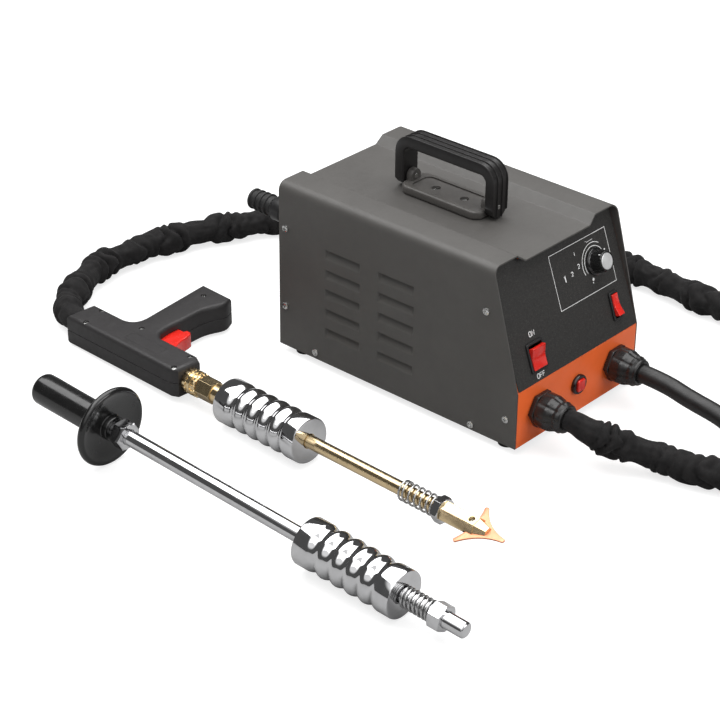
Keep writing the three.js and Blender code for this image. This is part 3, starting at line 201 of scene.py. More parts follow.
def lathe(name, profile, place, steps=72, closed=False, angle=32, radius=0.0, scale=None):
    """A solid of revolution round Z. The profile is (radius, height) from axis to axis, or closed."""
    if radius:
        profile = fillet(profile, radius, closed=closed)
    bm = bmesh.new()
    rings = []
    for r, h in profile:
        if r < 1e-6:
            rings.append([bm.verts.new((0, 0, h))] * steps)
            continue
        ring = []
        for a in (2 * pi * k / steps for k in range(steps)):
            grow = scale(r, h, a) if scale else 1
            ring.append(bm.verts.new((r * grow * cos(a), r * grow * sin(a), h)))
        rings.append(ring)
    for low, high in zip(rings, rings[1:] + rings[:1] if closed else rings[1:]):
        for k in range(steps):
            n = (k + 1) % steps
            corners = list(dict.fromkeys([low[k], low[n], high[n], high[k]]))
            if len(corners) > 2:
                bm.faces.new(corners)
    return finish_mesh(name, bm, place, angle)


def cylinder(name, radius, low, high, place, steps):
    return lathe(name, [(0, low), (radius, low), (radius, high), (0, high)], place, steps)


def prism(name, outline, low, high, place, bevel=0.0, holes=(), segments=3, limit=30):
    """An outline raised from low to high along Z, its sharp edges rounded."""
    bm = bmesh.new()
    loops = [outline, *holes]
    bottom, top = ([bm.verts.new((x, y, z)) for loop in loops for x, y in loop] for z in (low, high))
    if holes:
        for a, b, c in tessellate_polygon([[Vector((x, y, 0)) for x, y in loop] for loop in loops]):
            bm.faces.new((top[a], top[b], top[c]))
            bm.faces.new((bottom[a], bottom[c], bottom[b]))
    else:
        bm.faces.new(top)
        bm.faces.new(list(reversed(bottom)))
    start = 0
    for loop in loops:
        for k in range(len(loop)):
            a, b = start + k, start + (k + 1) % len(loop)
            bm.faces.new((bottom[a], bottom[b], top[b], top[a]))
        start += len(loop)
    bmesh.ops.recalc_face_normals(bm, faces=bm.faces)
    if bevel:
        sharp = [e for e in bm.edges if len(e.link_faces) == 2
                 and e.calc_face_angle(0) > radians(limit)]
        bmesh.ops.bevel(bm, geom=sharp, offset=bevel, segments=segments, profile=0.5, affect="EDGES")
    return finish_mesh(name, bm, place)


def arc(x, y, radius, start, end, steps):
    return [(x + radius * cos(a), y + radius * sin(a))
            for a in (radians(start + (end - start) * i / steps) for i in range(steps + 1))]


def disc(radius, steps=32, x=0, y=0):
    return arc(x, y, radius, 0, 360, steps)[:-1]


def hexagon(flat, start=0):
    return arc(0, 0, flat / sqrt(3), start, start + 360, 6)[:-1]


def rectangle(x0, y0, x1, y1):
    return [(x0, y0), (x1, y0), (x1, y1), (x0, y1)]


def rounded(width, height, radius, x=0, y=0, steps=4):
    w, h = width / 2 - radius, height / 2 - radius
    out = []
    for i, (cx, cy) in enumerate(((w, -h), (w, h), (-w, h), (-w, -h))):
        out += arc(x + cx, y + cy, radius, 90 * (i - 1), 90 * i, steps)
    return out


def smooth_path(points, spacing):
    """A centripetal curve through the points, sampled at an even spacing. Millimetres."""
    pts = [Vector(p) for p in points]
    pts = [pts[0] * 2 - pts[1], *pts, pts[-1] * 2 - pts[-2]]
    dense = []
    for i in range(1, len(pts) - 2):
        near = pts[i - 1:i + 3]
        knots = [0.0]
        for a, b in zip(near, near[1:]):
            knots.append(knots[-1] + sqrt((b - a).length))
        for k in range(24):
            t = knots[1] + (knots[2] - knots[1]) * k / 24
            level = near
            for reach in (((0, 1), (1, 2), (2, 3)), ((0, 2), (1, 3)), ((1, 2),)):
                level = [a * ((q - t) / (q - p)) + b * ((t - p) / (q - p)) for a, b, (p, q)
                         in zip(level, level[1:], ((knots[i], knots[j]) for i, j in reach))]
            dense.append(level[0])
    dense.append(pts[-2])
    lengths = [0.0]
    for a, b in zip(dense, dense[1:]):
        lengths.append(lengths[-1] + (b - a).length)
    total = lengths[-1]
    count = max(2, round(total / spacing))
    out, j = [], 0
    for i in range(count + 1):
        want = total * i / count
        while j < len(lengths) - 2 and lengths[j + 1] < want:
            j += 1
        span = lengths[j + 1] - lengths[j]
        t = 0 if span < 1e-9 else (want - lengths[j]) / span
        out.append(dense[j].lerp(dense[j + 1], t))
    return out, total


def tube(name, path, radius, place, sides, uv=True, angle=40):
    """A tube round a path. radius is a number or a function of (distance, angle, distance left)."""
    bm = bmesh.new()
    layer = bm.loops.layers.uv.new("along") if uv else None
    rings, distance = [], [0.0]
    for a, b in zip(path, path[1:]):
        distance.append(distance[-1] + (b - a).length)
    side = None
    for i, centre in enumerate(path):
        ahead = (path[min(i + 1, len(path) - 1)] - path[max(i - 1, 0)]).normalized()
        if side is None:
            side = ahead.orthogonal() if abs(ahead.z) > 0.9 else ahead.cross(Vector((0, 0, 1)))
        side = (side - ahead * side.dot(ahead)).normalized()
        other = ahead.cross(side)
        ring = []
        for k in range(sides):
            a = 2 * pi * k / sides
            r = radius(distance[i], a, distance[-1] - distance[i]) if callable(radius) else radius
            ring.append(bm.verts.new(centre + side * (r * cos(a)) + other * (r * sin(a))))
        rings.append(ring)
    for i in range(len(rings) - 1):
        for k in range(sides):
            n = (k + 1) % sides
            face = bm.faces.new((rings[i][k], rings[i][n], rings[i + 1][n], rings[i + 1][k]))
            if layer:
                marks = ((k, i), (k + 1, i), (k + 1, i + 1), (k, i + 1))
                for loop, (u, v) in zip(face.loops, marks):
                    loop[layer].uv = (u / sides, distance[v] * MM)
    bm.faces.new(list(reversed(rings[0])))
    bm.faces.new(rings[-1])
    return finish_mesh(name, bm, place, angle)


# Materials
def plug(tree, socket, value):
    """Links an output to the socket, or sets a plain value on it."""
    if isinstance(value, bpy.types.NodeSocket):
        tree.links.new(value, socket)
    else:
        socket.default_value = value


def node(tree, kind, sockets, **settings):
    made = tree.nodes.new(kind)
    for key, value in settings.items():
        setattr(made, key, value)
    for key, value in sockets.items():
        plug(tree, made.inputs[key], value)
    return made


class Nodes:
    """A short way to build one material's nodes. Sizes are in millimetres."""

    def __init__(self, name, color, rough, metallic=0.0, **sockets):
        self.material = bpy.data.materials.new(name)
        self.material.use_nodes = True
        self.tree = self.material.node_tree
        self.shader = self.tree.nodes["Principled BSDF"]
        self.color, self.rough, self.normal = color, rough, None
        sockets = {"Base Color": (*color, 1), "Roughness": rough, "Metallic": metallic, **sockets}
        for key, value in sockets.items():
            self.set(key.replace("_", " "), value)
        coords = self.tree.nodes.new("ShaderNodeTexCoord")
        self.object, self.uv = coords.outputs["Object"], coords.outputs["UV"]

    def set(self, socket, value):
        plug(self.tree, self.shader.inputs[socket], value)

    def add(self, kind, sockets, **settings):
        return node(self.tree, kind, sockets, **settings)

    def noise(self, size, detail=3, stretch=(1, 1, 1), roughness=0.5):
        """Noise whose features are about this size."""
        scaled = self.add("ShaderNodeMapping", {"Vector": self.object, "Scale": stretch})
        return self.add("ShaderNodeTexNoise", {
            "Vector": scaled.outputs[0], "Scale": 1 / (size * MM), "Detail": detail,
            "Roughness": roughness}).outputs["Fac"]

    def ramp(self, value, low, high, start=0.3, end=0.7):
        return self.add("ShaderNodeMapRange", {"Value": value, "From Min": start, "From Max": end,
                                               "To Min": low, "To Max": high}).outputs["Result"]

    def mix(self, factor, a, b):
        """Two colours mixed by a factor."""
        return self.add("ShaderNodeMix", {0: factor, 6: (*a, 1), 7: (*b, 1)}, data_type="RGBA").outputs[2]

    def vary(self, size, amount, detail=3, stretch=(1, 1, 1)):
        """The base colour, a little lighter and darker in patches."""
        darker = [c * (1 - amount) for c in self.color]
        lighter = [min(1, c * (1 + amount)) for c in self.color]
        self.set("Base Color", self.mix(self.ramp(self.noise(size, detail, stretch), 0, 1), darker, lighter))
        return self

    def gloss(self, size, spread, detail=3, stretch=(1, 1, 1)):
        low, high = max(0.02, self.rough - spread), min(1, self.rough + spread)
        self.set("Roughness", self.ramp(self.noise(size, detail, stretch), low, high))
        return self

    def bump(self, height, strength, distance):
        sockets = {"Strength": strength, "Distance": distance * MM, "Height": height}
        if self.normal:
            sockets["Normal"] = self.normal
        return self.turn_normals(self.add("ShaderNodeBump", sockets))

    def round_edges(self, radius):
        return self.turn_normals(self.add("ShaderNodeBevel", {"Radius": radius * MM}, samples=4))

    def turn_normals(self, by):
        self.normal = by.outputs["Normal"]
        self.set("Normal", self.normal)
        return self

    def bumpy(self, size, strength, distance, detail=3, stretch=(1, 1, 1)):
        return self.bump(self.noise(size, detail, stretch), strength, distance)


def paint(name, color, rough):
    m = Nodes(name, color, rough).round_edges(0.35).vary(40, 0.06, 4).gloss(9, 0.05, 4)
    return m.bumpy(0.5, 0.35, 0.04, 2).material


def plastic(name, color, rough, grain=0.7, depth=0.03, **sockets):
    m = Nodes(name, color, rough, **sockets).round_edges(0.3).vary(15, 0.12, 4).gloss(6, 0.06, 4)
    return m.bumpy(grain, 0.3, depth, 2).material


def metal(name, color, rough, stretch=(1, 1, 1), depth=0.01):
    m = Nodes(name, color, rough, 1.0).round_edges(0.2).vary(12, 0.06, 4, stretch)
    return m.gloss(5, 0.05, 4, stretch).bumpy(1.2, 0.2, depth, 3, stretch).material


def sleeve_material():
    """A woven nylon sleeve: fine crossed threads along its UVs."""
    m = Nodes("sleeve_fabric", (0.009, 0.0085, 0.009), 0.8, Sheen_Weight=0.04, Sheen_Roughness=0.5,
              Specular_IOR_Level=0.22)
    warp, weft = (m.add("ShaderNodeTexWave", {"Vector": m.uv, "Scale": scale, "Distortion": 0.6},
                        bands_direction=direction) for direction, scale in (("X", 46.0), ("Y", 480.0)))
    weave = m.add("ShaderNodeMath", {0: warp.outputs["Fac"], 1: weft.outputs["Fac"]}, operation="MULTIPLY")
    dark, light = (0.006, 0.0056, 0.0058), (0.014, 0.013, 0.0132)
    m.set("Base Color", m.mix(m.ramp(m.noise(9, 4), 0, 1), dark, light))
    return m.gloss(7, 0.1).bump(weave.outputs[0], 0.35, 0.25).bumpy(5, 0.4, 0.5, 4).material


def fascia_material():
    """Black print with a fine pale speckle."""
    m = Nodes("fascia_print", (0.022, 0.021, 0.02), 0.62).round_edges(0.2)
    speck = m.ramp(m.noise(0.9, 3, roughness=0.7), 0, 1, 0.56, 0.66)
    m.set("Base Color", m.mix(speck, (0.017, 0.016, 0.015), (0.062, 0.058, 0.053)))
    return m.gloss(3, 0.08).bumpy(0.9, 0.5, 0.12, 3).material


MAT = {
    "cover_paint": paint("charcoal_paint", (0.076, 0.0725, 0.068), 0.5),
    "orange_paint": paint("orange_paint", (0.95, 0.16, 0.034), 0.42),
    "board": plastic("circuit_board", (0.02, 0.12, 0.05), 0.45, 3, 0.1),
    "sleeve": sleeve_material(),
    "fascia_print": fascia_material(),
    "gloss_black": plastic("gloss_black", (0.008, 0.008, 0.008), 0.22, 2.5, 0.01, Coat_Weight=0.3),
    "red_plastic": plastic("red_plastic", (0.72, 0.02, 0.012), 0.24, 3, 0.01, Coat_Weight=0.4),
}
for name, *look in [
        ("black_plastic", (0.012, 0.012, 0.0125), 0.42), ("handle_plastic", (0.012, 0.011, 0.011), 0.36, 0.9),
        ("base_plastic", (0.085, 0.08, 0.075), 0.36, 0.9), ("rubber", (0.014, 0.014, 0.014), 0.6, 1.2, 0.06),
        ("gland_plastic", (0.013, 0.0125, 0.0125), 0.3, 0.9, 0.02),
        ("gun_plastic", (0.02, 0.0185, 0.019), 0.5, 0.8, 0.05),
        ("earth_jacket", (0.01, 0.0095, 0.0095), 0.42, 1.5, 0.08),
        ("white_ink", (0.95, 0.95, 0.94), 0.5, 0.4, 0.01)]:
    MAT[name] = plastic(name, *look)
for name, *look in [
        ("bright_cap", (0.95, 0.95, 0.95), 0.5), ("spring_steel", (0.5, 0.5, 0.5), 0.25),
        ("chrome", (0.68, 0.68, 0.69), 0.07), ("steel", (0.62, 0.62, 0.61), 0.25),
        ("brass", (0.78, 0.61, 0.36), 0.2), ("copper", (0.79, 0.34, 0.2), 0.46),
        ("laminations", (0.2, 0.2, 0.21), 0.5, (1, 40, 1), 0.1),
        ("winding", (0.4, 0.13, 0.04), 0.35, (1, 1, 60), 0.3)]:
    MAT[name] = metal(name, *look)

for entry in frame["record"]["subparts"]:
    obj = nodes[entry["node"]]
    obj.data.materials.clear()
    obj.data.materials.append(MAT[entry["material_slot"]])


def dress(obj, look, body, *replaced):
    """Gives a piece its material, the body it rides on, and the nodes it stands for."""
    obj.data.materials.clear()
    obj.data.materials.append(MAT[look])
    if body:
        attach(obj, body)
    if replaced:
        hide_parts(*replaced)
    return obj


# Cords, along the same points as their solids. Millimetres, with z from the floor.
LAID = 17.1
TORCH_ROUTE = [
    (-62.3, -36.6, 41), (-62.3, -46, 41), (-62, -58, 38.5), (-57.5, -72, 34.5), (-50, -85, 29.5),
    (-41.5, -99, 25), (-34, -113, 21.5), (-28.5, -128, 19), (-25, -143, 17.8), (-21.5, -158, 17.4),
    (-15, -175, 17.4), (-6, -192, 17.2), *[(x, y, LAID) for x, y in (
        (3, -215), (10, -245), (20, -284), (40, -324), (76, -356), (120, -374), (168, -381), (218, -374),
        (262, -352), (297, -318), (318, -276), (325, -230), (320, -180), (310, -130), (300, -85),
        (286, -40), (277.5, 5), (277, 40), (280, 74), (282, 105), (282, 136), (283, 170), (281, 240),
        (262, 320), (225, 390), (175, 450), (128, 492), (81.3, 528.7), (59, 538.5), (40, 551),
        (22, 558.5), (-5.5, 568.6), (-41.7, 578.8), (-78, 583), (-115.7, 584), (-141, 577.5),
        (-168, 566), (-195.4, 550.7))],
    (-213, 535.9, 17.2), (-224.4, 516.1, 17.4), (-228.06, 501.5, 17.5), (-228.3, 497.5, 17.6),
]
EARTH_ROUTE = [
    (62.3, -36.6, 41), (62.3, -46, 41), (63.5, -70, 38.5), (64, -90, 34.3), (64, -105, 32),
    (64, -121, 29.9), (64.5, -132, 27.5), (64.3, -150, 22), (63, -168, 16), (61, -184, 12),
    (60, -196.5, 10.5), (60, -204.5, 10.4), (60, -209.5, 10.4),
]
EARTH_D = 19.7
SLEEVE_NECK, SLEEVE_CORE, SLEEVE_BUNCH, SLEEVE_PITCH = 11, 12.6, 6.6, 15


def soft_step(value, start, end):
    t = min(1, max(0, (value - start) / (end - start)))
    return t * t * (3 - 2 * t)


def sleeve_radius(distance, angle, left):
    """A slack sleeve on a thin cable: tight at its ends, bunched into sharp rings in stretches."""

    def waves(length, row, layer=0.0, across=Vector()):
        """Smooth noise that changes over about this length, and round the sleeve."""
        return noise.noise(Vector((distance / length, row, layer)) + across)

    around = Vector((0, cos(angle), sin(angle)))
    bunched = soft_step(waves(34, 11, 5), -0.3, 0.25)
    phase = distance / SLEEVE_PITCH + 1.1 * waves(21, 0, 0, around * 0.7) + 0.16 * sin(angle + distance / 40)
    ring = abs(sin(pi * phase)) ** 0.6
    fold = abs(waves(30, 7, 0, around * 1.6))
    wide = SLEEVE_CORE + 1.5 * waves(48, 3) + bunched * (SLEEVE_BUNCH * ring - 1) + 3 * (1 - bunched) * fold
    ends = min(soft_step(distance, 2, 34), soft_step(left, 2, 26))
    return SLEEVE_NECK + ends * (wide - SLEEVE_NECK) + (1 - ends) * 1.2 * fold


def coil_path():
    """The coil of the earth lead: inward below, outward on top, as its solid."""
    x, y, radius, pitch, low, climb = 173, -229.5, 113, 20.8, 10.4, 20.7
    steps, points = 2 * 48, []
    for i in range(steps + 1):
        t = 2 * i / steps
        r = radius - pitch * min(t, 2.5 - t)
        a = pi + 2 * pi * t
        points.append(Vector((x + r * cos(a), y + r * sin(a), low + climb * soft_step(t, 1, 1.5))))
    straight = Vector((0, -EARTH_D, 0))
    return [points[0] - straight, *points, points[-1] + straight]


def make_lug():
    """A crimped barrel running into a flat eye, where its solid lies."""
    low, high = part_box("earth_lug")
    place = Matrix.Translation(((low.x + high.x) / 2, high.y + CLEAR * MM, (low.z + high.z) / 2))
    sections = [(0.3, 9.6, 9.6), (8, 9.6, 9.6), (9.5, 9.6, 8.6), (15, 9.6, 8.4), (17, 9.6, 9.5),
                (22, 9.6, 9.4), (27, 9.6, 5.6), (32, 10.6, 1.5), (40, 11.9, 1.5)]
    bm = bmesh.new()
    skin(bm, [[bm.verts.new((a * cos(t), b * sin(t), h)) for t in (2 * pi * k / 40 for k in range(40))]
              for h, a, b in sections])
    barrel = finish_mesh("earth_terminal", bm, place @ turn(90, "X"), 50)
    eye, eye_r, hole_r, half_plate = CLEAR + 24 + 22, 12, 5.3, 1.5
    outline = [(-11.9, -34), *arc(0, -eye, eye_r, 180, 360, 24), (11.9, -34)]
    boolean(barrel, [prism("plate", outline, -half_plate, half_plate, place, 0.3)], "UNION")
    boolean(barrel, [prism("hole", disc(hole_r, 36, 0, -eye), -6, 6, place)])
    return dress(barrel, "copper", "power_unit", "earth_lug")


def make_cords():
    path, length = smooth_path(TORCH_ROUTE, 2)
    sleeve = tube("torch_sleeve", path, sleeve_radius, FLOOR_CAB, 48, angle=80)
    for vertex in sleeve.data.vertices:
        vertex.co.z = max(vertex.co.z, CLEAR * MM)
    dress(sleeve, "sleeve", None, "torch_cable")
    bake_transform(sleeve)

    path, length = smooth_path(EARTH_ROUTE, 4)
    coil = coil_path()
    lead = tube("earth_lead", path, EARTH_D / 2, FLOOR_CAB, 28, angle=60)
    dress(lead, "earth_jacket", "power_unit", "earth_cable")
    loops = tube("earth_lead_coil", coil, EARTH_D / 2, FLOOR_CAB, 28, angle=60)
    dress(loops, "earth_jacket", "power_unit", "earth_cable_coil")
    lug = make_lug()


make_cords()

# Cover: one folded sheet with pressed louvres
WIDTH, LENGTH, SHOULDER, ROOF, SHEET, CORNER = 200, 322.5, 191, 183, 1.5, 10
STEP_OUT, STEP_IN = 63, 52
SLIT_LENGTH, SLIT_HEIGHT, SLIT_DEPTH, SLIT_TAPER = 49, 11, 5, 4
SLIT_COLUMNS, SLIT_TOPS = (159.96, 233.0), [134.5 - row * 23 for row in range(5)]


def cover_section():
    """Points round the outside of the cover's section, with the side's louvre rows on it."""
    side = WIDTH / 2
    zs = [0, 0.8, SHOULDER - CORNER]
    for top in SLIT_TOPS:
        bottom = top - SLIT_HEIGHT
        zs += [bottom - 1.2, bottom, bottom + 0.9]
        zs += [bottom + SLIT_HEIGHT * k / 7 for k in range(2, 7)]
        zs += [top - 0.35, top - 0.05, top + 0.05, top + 0.5]
    right = [(side, z) for z in sorted(zs)]
    right += arc(side - CORNER, SHOULDER - CORNER, CORNER, 0, 90, 10)[1:]
    fold = fillet([(side - CORNER, SHOULDER), (STEP_OUT, SHOULDER), (STEP_IN, ROOF), (0, ROOF)],
                  3.2, 5, closed=False)
    right += fold[1:-1]
    right.append((0, ROOF))
    return right + [(-x, z) for x, z in reversed(right[:-1])]


def louvre_depth(y, z):
    """How far the sheet is pressed in there, deepest under a louvre's torn upper edge."""
    for column in SLIT_COLUMNS:
        across = (SLIT_LENGTH / 2 - abs(y - column)) / SLIT_TAPER
        for top in SLIT_TOPS:
            share = (top - z) / SLIT_HEIGHT
            if 0 < share <= 1 and across > 0:
                slope = 1 - share
                return SLIT_DEPTH * min(soft_step(across, 0, 1), slope * (1.35 - 0.35 * slope))
    return 0


def make_cover():
    section = cover_section()
    ys = {0.0, 0.6, LENGTH - 0.6, LENGTH}
    half = SLIT_LENGTH / 2
    for column in SLIT_COLUMNS:
        for t in (half - SLIT_TAPER * k / 6 for k in range(9)):
            ys |= {column - t, column + t}
        ys |= {column - half - 1, column + half + 1}
        ys |= {column + half * k / 3 for k in range(-2, 3)}
    ys |= {LENGTH * k / 24 for k in range(25)}
    ys = sorted(ys)
    ys = [y for i, y in enumerate(ys) if i == 0 or y - ys[i - 1] > 0.3]
    bm = bmesh.new()
    grid = []
    for x, z in section:
        deep = abs(x) > WIDTH / 2 - 0.01
        grid.append([bm.verts.new((x - copysign(louvre_depth(y, z) if deep else 0, x), y, z)) for y in ys])
    for i in range(len(section) - 1):
        z0, z1 = sorted((section[i][1], section[i + 1][1]))
        opening = any(abs((z0 + z1) / 2 - top) < 0.06 and z1 - z0 < 0.2 for top in SLIT_TOPS)
        for j in range(len(ys) - 1):
            if opening and min(louvre_depth(ys[j], z0), louvre_depth(ys[j + 1], z0)) > SHEET:
                continue
            bm.faces.new((grid[i][j], grid[i + 1][j], grid[i + 1][j + 1], grid[i][j + 1]))
    bmesh.ops.recalc_face_normals(bm, faces=bm.faces)
    slant = Vector((0, -cos(COVER_SLANT), sin(COVER_SLANT)))
    corner = Vector((0, 0, FRONT_HEIGHT))
    geom = list(bm.verts) + list(bm.edges) + list(bm.faces)
    bmesh.ops.bisect_plane(bm, geom=geom, plane_co=corner, plane_no=Vector((0, 0, 1)))
    upper = [f for f in bm.faces if f.calc_center_median().z > FRONT_HEIGHT]
    cut = list(dict.fromkeys(part for f in upper for part in (f, *f.edges, *f.verts)))
    bmesh.ops.bisect_plane(bm, geom=cut, plane_co=corner, plane_no=slant, clear_outer=True)
    obj = finish_mesh("cover_sheet", bm, CAB, 40)
    solid = obj.modifiers.new("sheet", "SOLIDIFY")
    solid.thickness, solid.offset, solid.use_rim = SHEET * MM, -1, True
    apply_modifiers(obj, 40)
    return dress(obj, "cover_paint", "power_unit", "cover")


make_cover()

# Handle: a ribbed bail on two pins, and its base plate
HINGE, BAIL_MIDDLE, BAIL_LENGTH, BAIL_TOP, BAIL_WIDTH = 196.5, 174.15, 131, 243.5, 24
BAIL_LEG, BAIL_BAR, BAIL_CORNER, RIB, RIBS = 11.5, 13, 20, 1.4, 4
BASE_HALF, BASE_TOP, BASE_SCREW, LUG, PIN = 21.5, 192.5, 19, 7.5, 2.8


def bail_section(thick):
    """The bar's section across its width: (across, outward). Narrow ribs stand out on its outer side."""
    half = BAIL_WIDTH / 2
    pitch = (BAIL_WIDTH - RIB) / (RIBS - 1)
    out = [(-half + 1.2, -thick), (half - 1.2, -thick), (half, -thick + 1.2)]
    for i in reversed(range(RIBS)):
        x = -half + RIB / 2 + i * pitch
        right = (x + 0.7, -0.5) if i == RIBS - 1 else (x + 0.95, -RIB)
        left = (x - 0.7, -0.5) if i == 0 else (x - 0.95, -RIB)
        out += [right, (x + 0.45, -0.12), (x + 0.15, 0), (x - 0.15, 0), (x - 0.45, -0.12), left]
    out.append((-half, -thick + 1.2))
    return out


def make_handle():
    y0, y1 = BAIL_MIDDLE - BAIL_LENGTH / 2, BAIL_MIDDLE + BAIL_LENGTH / 2
    low = HINGE - BAIL_WIDTH / 2
    corner = arc(y0 + BAIL_CORNER, BAIL_TOP - BAIL_CORNER, BAIL_CORNER, 180, 90, 12)
    left = [((y0, z), (-1, 0), BAIL_LEG) for z in (low, HINGE, HINGE + 12, BAIL_TOP - BAIL_CORNER - 1)]
    left += [((y, z), ((y - y0 - BAIL_CORNER) / BAIL_CORNER, (z - BAIL_TOP + BAIL_CORNER) / BAIL_CORNER),
              BAIL_LEG + (BAIL_BAR - BAIL_LEG) * k / 12) for k, (y, z) in enumerate(corner)]
    right = [((2 * BAIL_MIDDLE - y, z), (-ny, nz), t) for (y, z), (ny, nz), t in reversed(left)]
    bm = bmesh.new()
    rings = [[bm.verts.new((x, y + ny * out, z + nz * out)) for x, out in bail_section(thick)]
             for (y, z), (ny, nz), thick in left + right]
    skin(bm, rings)
    bail = finish_mesh("handle_bail", bm, CAB, 35)
    # The lower ends are round, about the pins.
    across = CAB @ turn(90, "X")
    side = [(12.05, 300), *arc(0, HINGE, BAIL_WIDTH / 2, 0, -180, 24), (-12.05, 300)]
    boolean(bail, [prism("keep", side, -400, 0, across)], "INTERSECT", 35)
    boolean(bail, [prism("hole", disc(PIN, 24, 0, HINGE), -400, 0, across)], "DIFFERENCE", 35)
    dress(bail, "handle_plastic", "carrying_handle", "handle_grip")

    inner0, inner1 = y0 + BAIL_LEG + 0.6, y1 - BAIL_LEG - 0.6
    plate = prism("handle_plate", rounded(2 * BASE_HALF, inner1 - inner0, 12, 0, BAIL_MIDDLE, 8),
                  ROOF + CLEAR, BASE_TOP, CAB, 2.4, segments=4)
    lug_shape = [*arc(0, HINGE, LUG, 0, 180, 20), (-LUG, ROOF + 1), (LUG, ROOF + 1)]
    boolean(plate, [prism("lug", lug_shape, -y - LUG, -y, across, 0.8) for y in (inner0, inner1 - LUG)],
            "UNION")
    cutters = [prism("pocket", rounded(31, 84, 7, 0, BAIL_MIDDLE, 6), BASE_TOP - 1.5, BASE_TOP + 0.3, CAB)]
    seats = [CAB @ move(0, BAIL_MIDDLE + end * BASE_SCREW, 0) for end in (-1, 1)]
    cutters += [lathe("bore", [(0, BASE_TOP - 5.5), (4.6, BASE_TOP - 5.5), (5.2, BASE_TOP + 4),
                               (0, BASE_TOP + 4)], seat, 32) for seat in seats]
    cutters.append(prism("pins", disc(PIN, 24, 0, HINGE), -400, 0, across))
    boolean(plate, cutters)
    dress(plate, "base_plastic", "power_unit", "handle_base")
    for i, seat in enumerate(seats):
        screw(f"handle_screw_{i}", seat @ move(0, 0, BASE_TOP - 5.2), 4.1, 2.0, "power_unit", 25 + 40 * i)


def screw(name, place, radius, height, body, turned):
    """A domed screw head with a cross recess, starting at the place and rising along its Z."""
    dome, arm, half = 0.35, radius * 0.62, radius * 0.13
    top = [(radius * cos(a), height * (1 - dome) + height * dome * sin(a))
           for a in (pi / 2 * k / 6 for k in range(1, 6))]
    head = lathe(name, [(0, 0), (radius, 0), (radius, height * 0.4), *top, (0, height)], place, 36)
    cross = []
    for c, s in ((cos(pi / 2 * k), sin(pi / 2 * k)) for k in range(4)):
        cross += [(x * c - y * s, x * s + y * c) for x, y in ((half, -half), (arm, -half), (arm, half))]
    boolean(head, [prism("cross", cross, height * 0.35, height * 2, place @ turn(turned, "Z"))])
    return dress(head, "steel", body)


make_handle()

# Side screws of the cover, as (y, z)
SCREWS = [(312.6, 140.5), (313.6, 48.7), (270.1, 7.9), (56.8, 6.5), (42.2, 141.8), (12.8, 30.5)]
for side, label in ((-1, "left"), (1, "right")):
    for i, (y, z) in enumerate(SCREWS):
        screw(f"cover_screw_{label}_{i}", CAB @ move(side * (WIDTH / 2 - 0.05), y, z) @ turn(90 * side, "Y"),
              4.0, 2.4, "power_unit", 17 * i)

# Fascia fittings. Local x is across, y is up the slope and z is out of it. A switch is given by its
# place, its width and height, and its key's tilt.
SEAT = 1.2
KNOB = (56.9, 83.8)
MAIN_SWITCH = (-61.1, 26.9, 25.5, 31, 10)
MODE_SWITCH = (70.9, 30.8, 14.5, 31, -10)


def ink(name, shapes):
    """Flat white print on the fascia, from outlines in millimetres across and up the slope."""
    height = CLEAR + 0.6
    bm = bmesh.new()
    for outline, inner in shapes:
        loops = [outline, *([inner] if inner else [])]
        flat = [(x, y) for loop in loops for x, y in loop]
        verts = [bm.verts.new((x, y, height + 0.06)) for x, y in flat]
        for a, b, c in tessellate_polygon([[Vector((x, y, 0)) for x, y in loop] for loop in loops]):
            bm.faces.new((verts[a], verts[b], verts[c]))
    for face in bm.faces:
        face.normal_update()
        if face.normal.z < 0:
            face.normal_flip()
    print_ = finish_mesh(name, bm, FASCIA)
    return dress(print_, "white_ink", "power_unit")


def stroke(points, width):
    """The outline of an open line of a given width."""
    left, right = [], []
    for i, point in enumerate(points):
        a, b = Vector(points[max(i - 1, 0)]), Vector(points[min(i + 1, len(points) - 1)])
        side = (b - a).orthogonal().normalized() * (width / 2)
        here = Vector(point)
        left.append(tuple(here + side))
        right.append(tuple(here - side))
    return left + right[::-1], None


# Each letter's strokes, on a grid that is 4 wide and 6 high
LETTER_HEIGHT, LETTER_PITCH = 6, 5.6
LETTERS = {
    "O": [[(0, 1), (0, 5), (1, 6), (3, 6), (4, 5), (4, 1), (3, 0), (1, 0), (0, 1)]],
    "N": [[(0, 0), (0, 6), (4, 0), (4, 6)]],
    "F": [[(4, 6), (0, 6), (0, 0)], [(0, 3.2), (3.2, 3.2)]],
    "1": [[(1, 4.6), (2.4, 6), (2.4, 0)]],
    "2": [[(0, 5), (1, 6), (3, 6), (4, 5), (4, 3.8), (0, 0), (4, 0)]],
}


def letters(text, x, y, height, width):
    """Letters drawn with strokes of this width, from their lower left corner."""
    size = height / LETTER_HEIGHT
    return [stroke([(x + (i * LETTER_PITCH + u) * size, y + v * size) for u, v in line], width)
            for i, letter in enumerate(text) for line in LETTERS[letter]]


